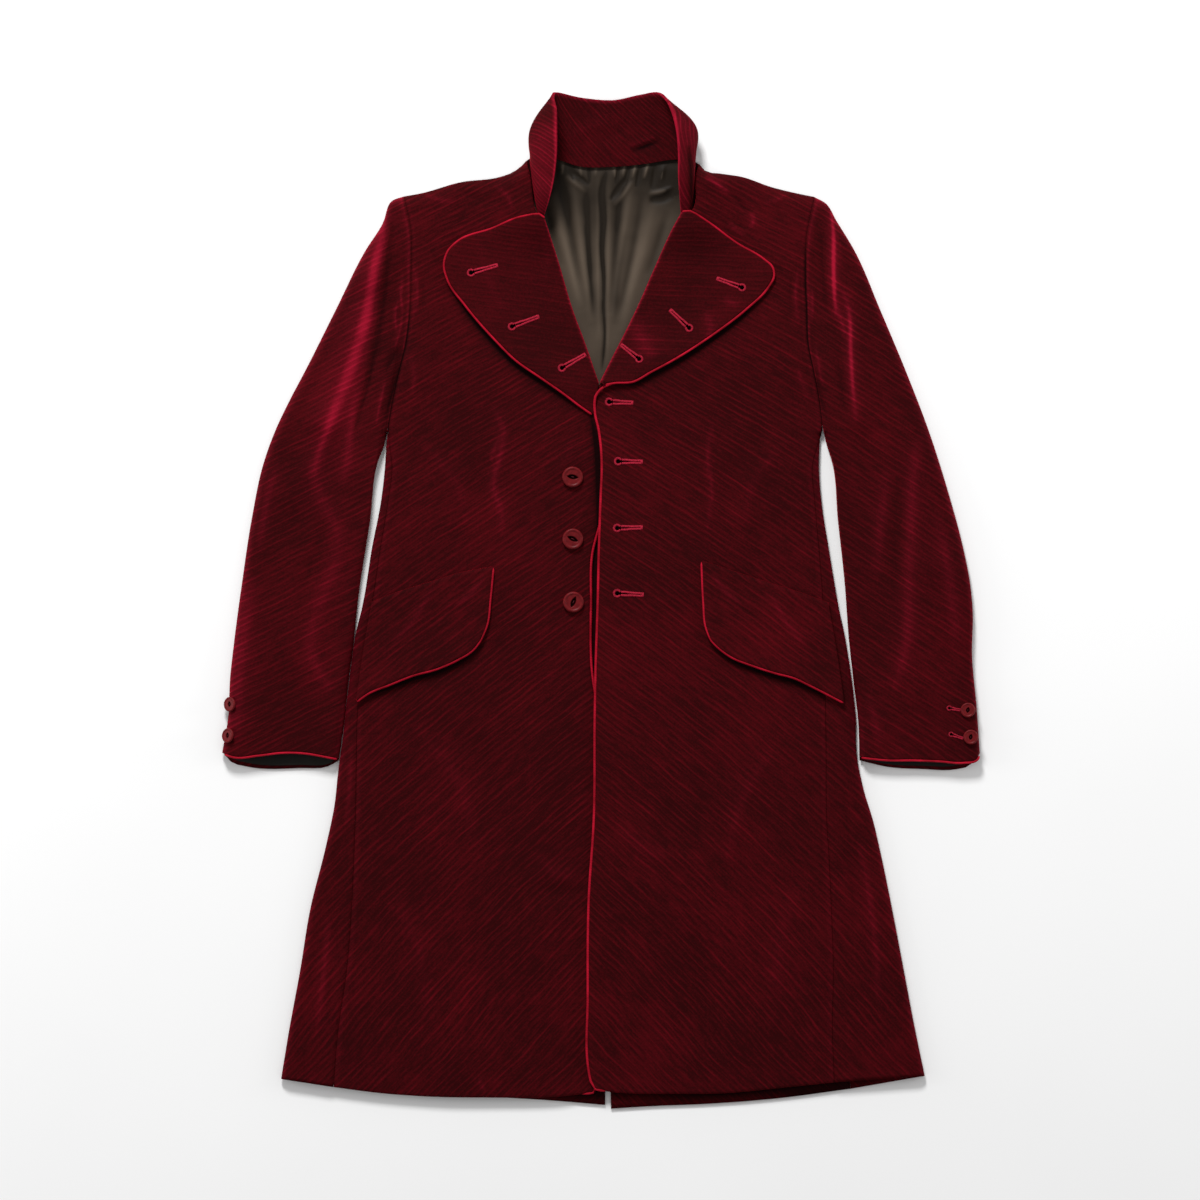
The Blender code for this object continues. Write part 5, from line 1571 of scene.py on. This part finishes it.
def satin(name, low, high):
    """Lining satin with a slight lustre and fine cross threads."""
    look, shader, spots = finish(name, 0.55, 0.1)
    across, _ = rib_axes(look)
    cloud = spread(noise(spots, 14.0, 3.0), 0.3, 0.72)
    # The marked number paints light and shade on the lining
    shown = plus(times(cloud, 0.35), plus(marked(look, "rub_and_painted_light"), 0.35))
    feed(shader["Base Color"], blended(held(shown), low, high))
    fine = bumped(wave(times(across, 14.0)), 0.00004, 0.5)
    feed(shader["Normal"], bumped(cloud, 0.0006, 0.4, fine))
    return look


def cord_satin():
    """Piping: bright crimson satin wound on the slant round its cord."""
    look, shader, spots = finish("piping satin", 0.6, 0.07)
    across, along = rib_axes(look)
    cloud = spread(noise(spots, 60.0), 0.3, 0.7)
    feed(shader["Base Color"], blended(cloud, CORD_DARK, CORD_LIGHT))
    feed(shader["Normal"], bumped(wave(plus(times(along, 6.0), across)), 0.00012, 0.5))
    return look


def resin():
    """Dyed button resin with a faint grain, with painted shade and no gloss in the hollow round the holes."""
    look, shader, spots = finish("button resin", 0.42, 0.1)
    cloud = spread(noise(spots, 220.0, 4.0, 0.6), 0.3, 0.72)
    hollow = marked(look, "hollow")
    dyed = blended(cloud, RESIN_DARK, RESIN_LIGHT)
    # Painted shade in the hollow round the holes
    feed(shader["Base Color"], blended(hollow, dyed, HOLLOW_SHADE))
    feed(shader["Specular IOR Level"], times(minus(1.0, hollow), 0.1))
    feed(shader["Normal"], bumped(cloud, 0.0001, 0.3))
    return look


def silk(name, low, high, shine=0.15):
    """Twisted silk thread."""
    look, shader, spots = finish(name, 0.6, shine)
    cloud = spread(noise(spots, 700.0), 0.3, 0.7)
    feed(shader["Base Color"], blended(cloud, low, high))
    feed(shader["Normal"], bumped(cloud, 0.0001, 0.4))
    return look


def light(name, place, size, power):
    """A square soft light turned towards the middle of the coat."""
    lamp = bpy.data.lights.new(name, "AREA")
    lamp.shape = "SQUARE"
    lamp.size = size
    lamp.energy = power
    made = bpy.data.objects.new(name, lamp)
    made.location = place
    made.rotation_euler = (-Vector(place)).to_track_quat("-Z", "Y").to_euler()
    bpy.context.scene.collection.objects.link(made)


def studio():
    """A pale floor, a soft light from beyond the collar, a broad fill and the camera above."""
    look, shader, spots = finish("floor paper", 0.9, 0.5)
    feed(shader["Base Color"], blended(noise(spots, 3.0), PAPER_DARK, PAPER_LIGHT))
    corners = [(x * FLOOR_REACH, y * FLOOR_REACH, 0.0) for x, y in ((-1, -1), (1, -1), (1, 1), (-1, 1))]
    floor = built("floor", corners, [(0, 1, 2, 3)], look, smooth=False)
    floor.location.z = -0.2 * MM

    world = bpy.data.worlds.new("room")
    world.use_nodes = True
    world.node_tree.nodes["Background"].inputs["Color"].default_value = (1.0, 1.0, 1.0, 1.0)
    world.node_tree.nodes["Background"].inputs["Strength"].default_value = ROOM_LIGHT
    bpy.context.scene.world = world
    for name, place, size, power in LIGHTS:
        light(name, place, size, power)
    bpy.context.scene.view_settings.view_transform = "Standard"

    eye = bpy.data.cameras.new("camera")
    eye.sensor_width = SENSOR
    eye.lens = SENSOR * (CAMERA_HEIGHT - BODY_TOP * MM) / FRAME_WIDTH
    eye.clip_end = 100.0
    camera = bpy.data.objects.new("camera", eye)
    camera.location = (*FRAME_CENTRE, CAMERA_HEIGHT)
    bpy.context.scene.collection.objects.link(camera)
    bpy.context.scene.camera = camera


def main():
    studio()
    cloth = velvet("corded velvet", 1.0)
    facing = velvet("facing velvet", 0.45)
    trim = cord_satin()
    dull = satin("lining satin", LINING_DARK, LINING_LIGHT)
    # The lining satin painted dark as the shade inside the cuffs
    deep = satin("sleeve lining satin in painted shade", CUFF_LINING_SHADE_DARK, CUFF_LINING_SHADE_LIGHT)
    horn = resin()
    pink = silk("buttonhole silk", SILK_DARK, SILK_LIGHT)
    dark = silk("button thread", THREAD_DARK, THREAD_LIGHT)
    slit = silk("slit shadow", SLIT_SHADOW_DARK, SLIT_SHADOW_LIGHT, 0.0)
    fronts = {}
    lapels = {}
    sleeves = {}
    for side in SIGN:
        back(side, cloth)
        side_piece(side, cloth)
        fronts[side] = front(side, cloth)
        lapels[side] = lapel(side, facing)
        flap(side, cloth)
        sleeve_under(side, cloth)
        sleeves[side] = sleeve_upper(side, cloth)
        cuff_lining(side, deep)
        for corded in (front_piping, lapel_piping, flap_piping, cuff_piping):
            corded(side, trim)
    collar(cloth)
    lining(dull)
    for name in BUTTON_TURNS:
        button(name, horn, dark)
    groups = [("front", fronts["left"], FRONT_HOLES, 1.2)]
    for side in SIGN:
        groups.append((f"lapel_{side}", lapels[side], LAPEL_HOLES[side], 1.15))
    groups.append(("cuff", sleeves["left"], CUFF_HOLES, 0.75))
    for group, piece, holes, size in groups:
        under = surface(piece)
        for number, (eyelet, bar) in enumerate(holes, start=1):
            buttonhole(f"buttonhole_{group}_{number}", eyelet, bar, under, size, pink, slit)


main()
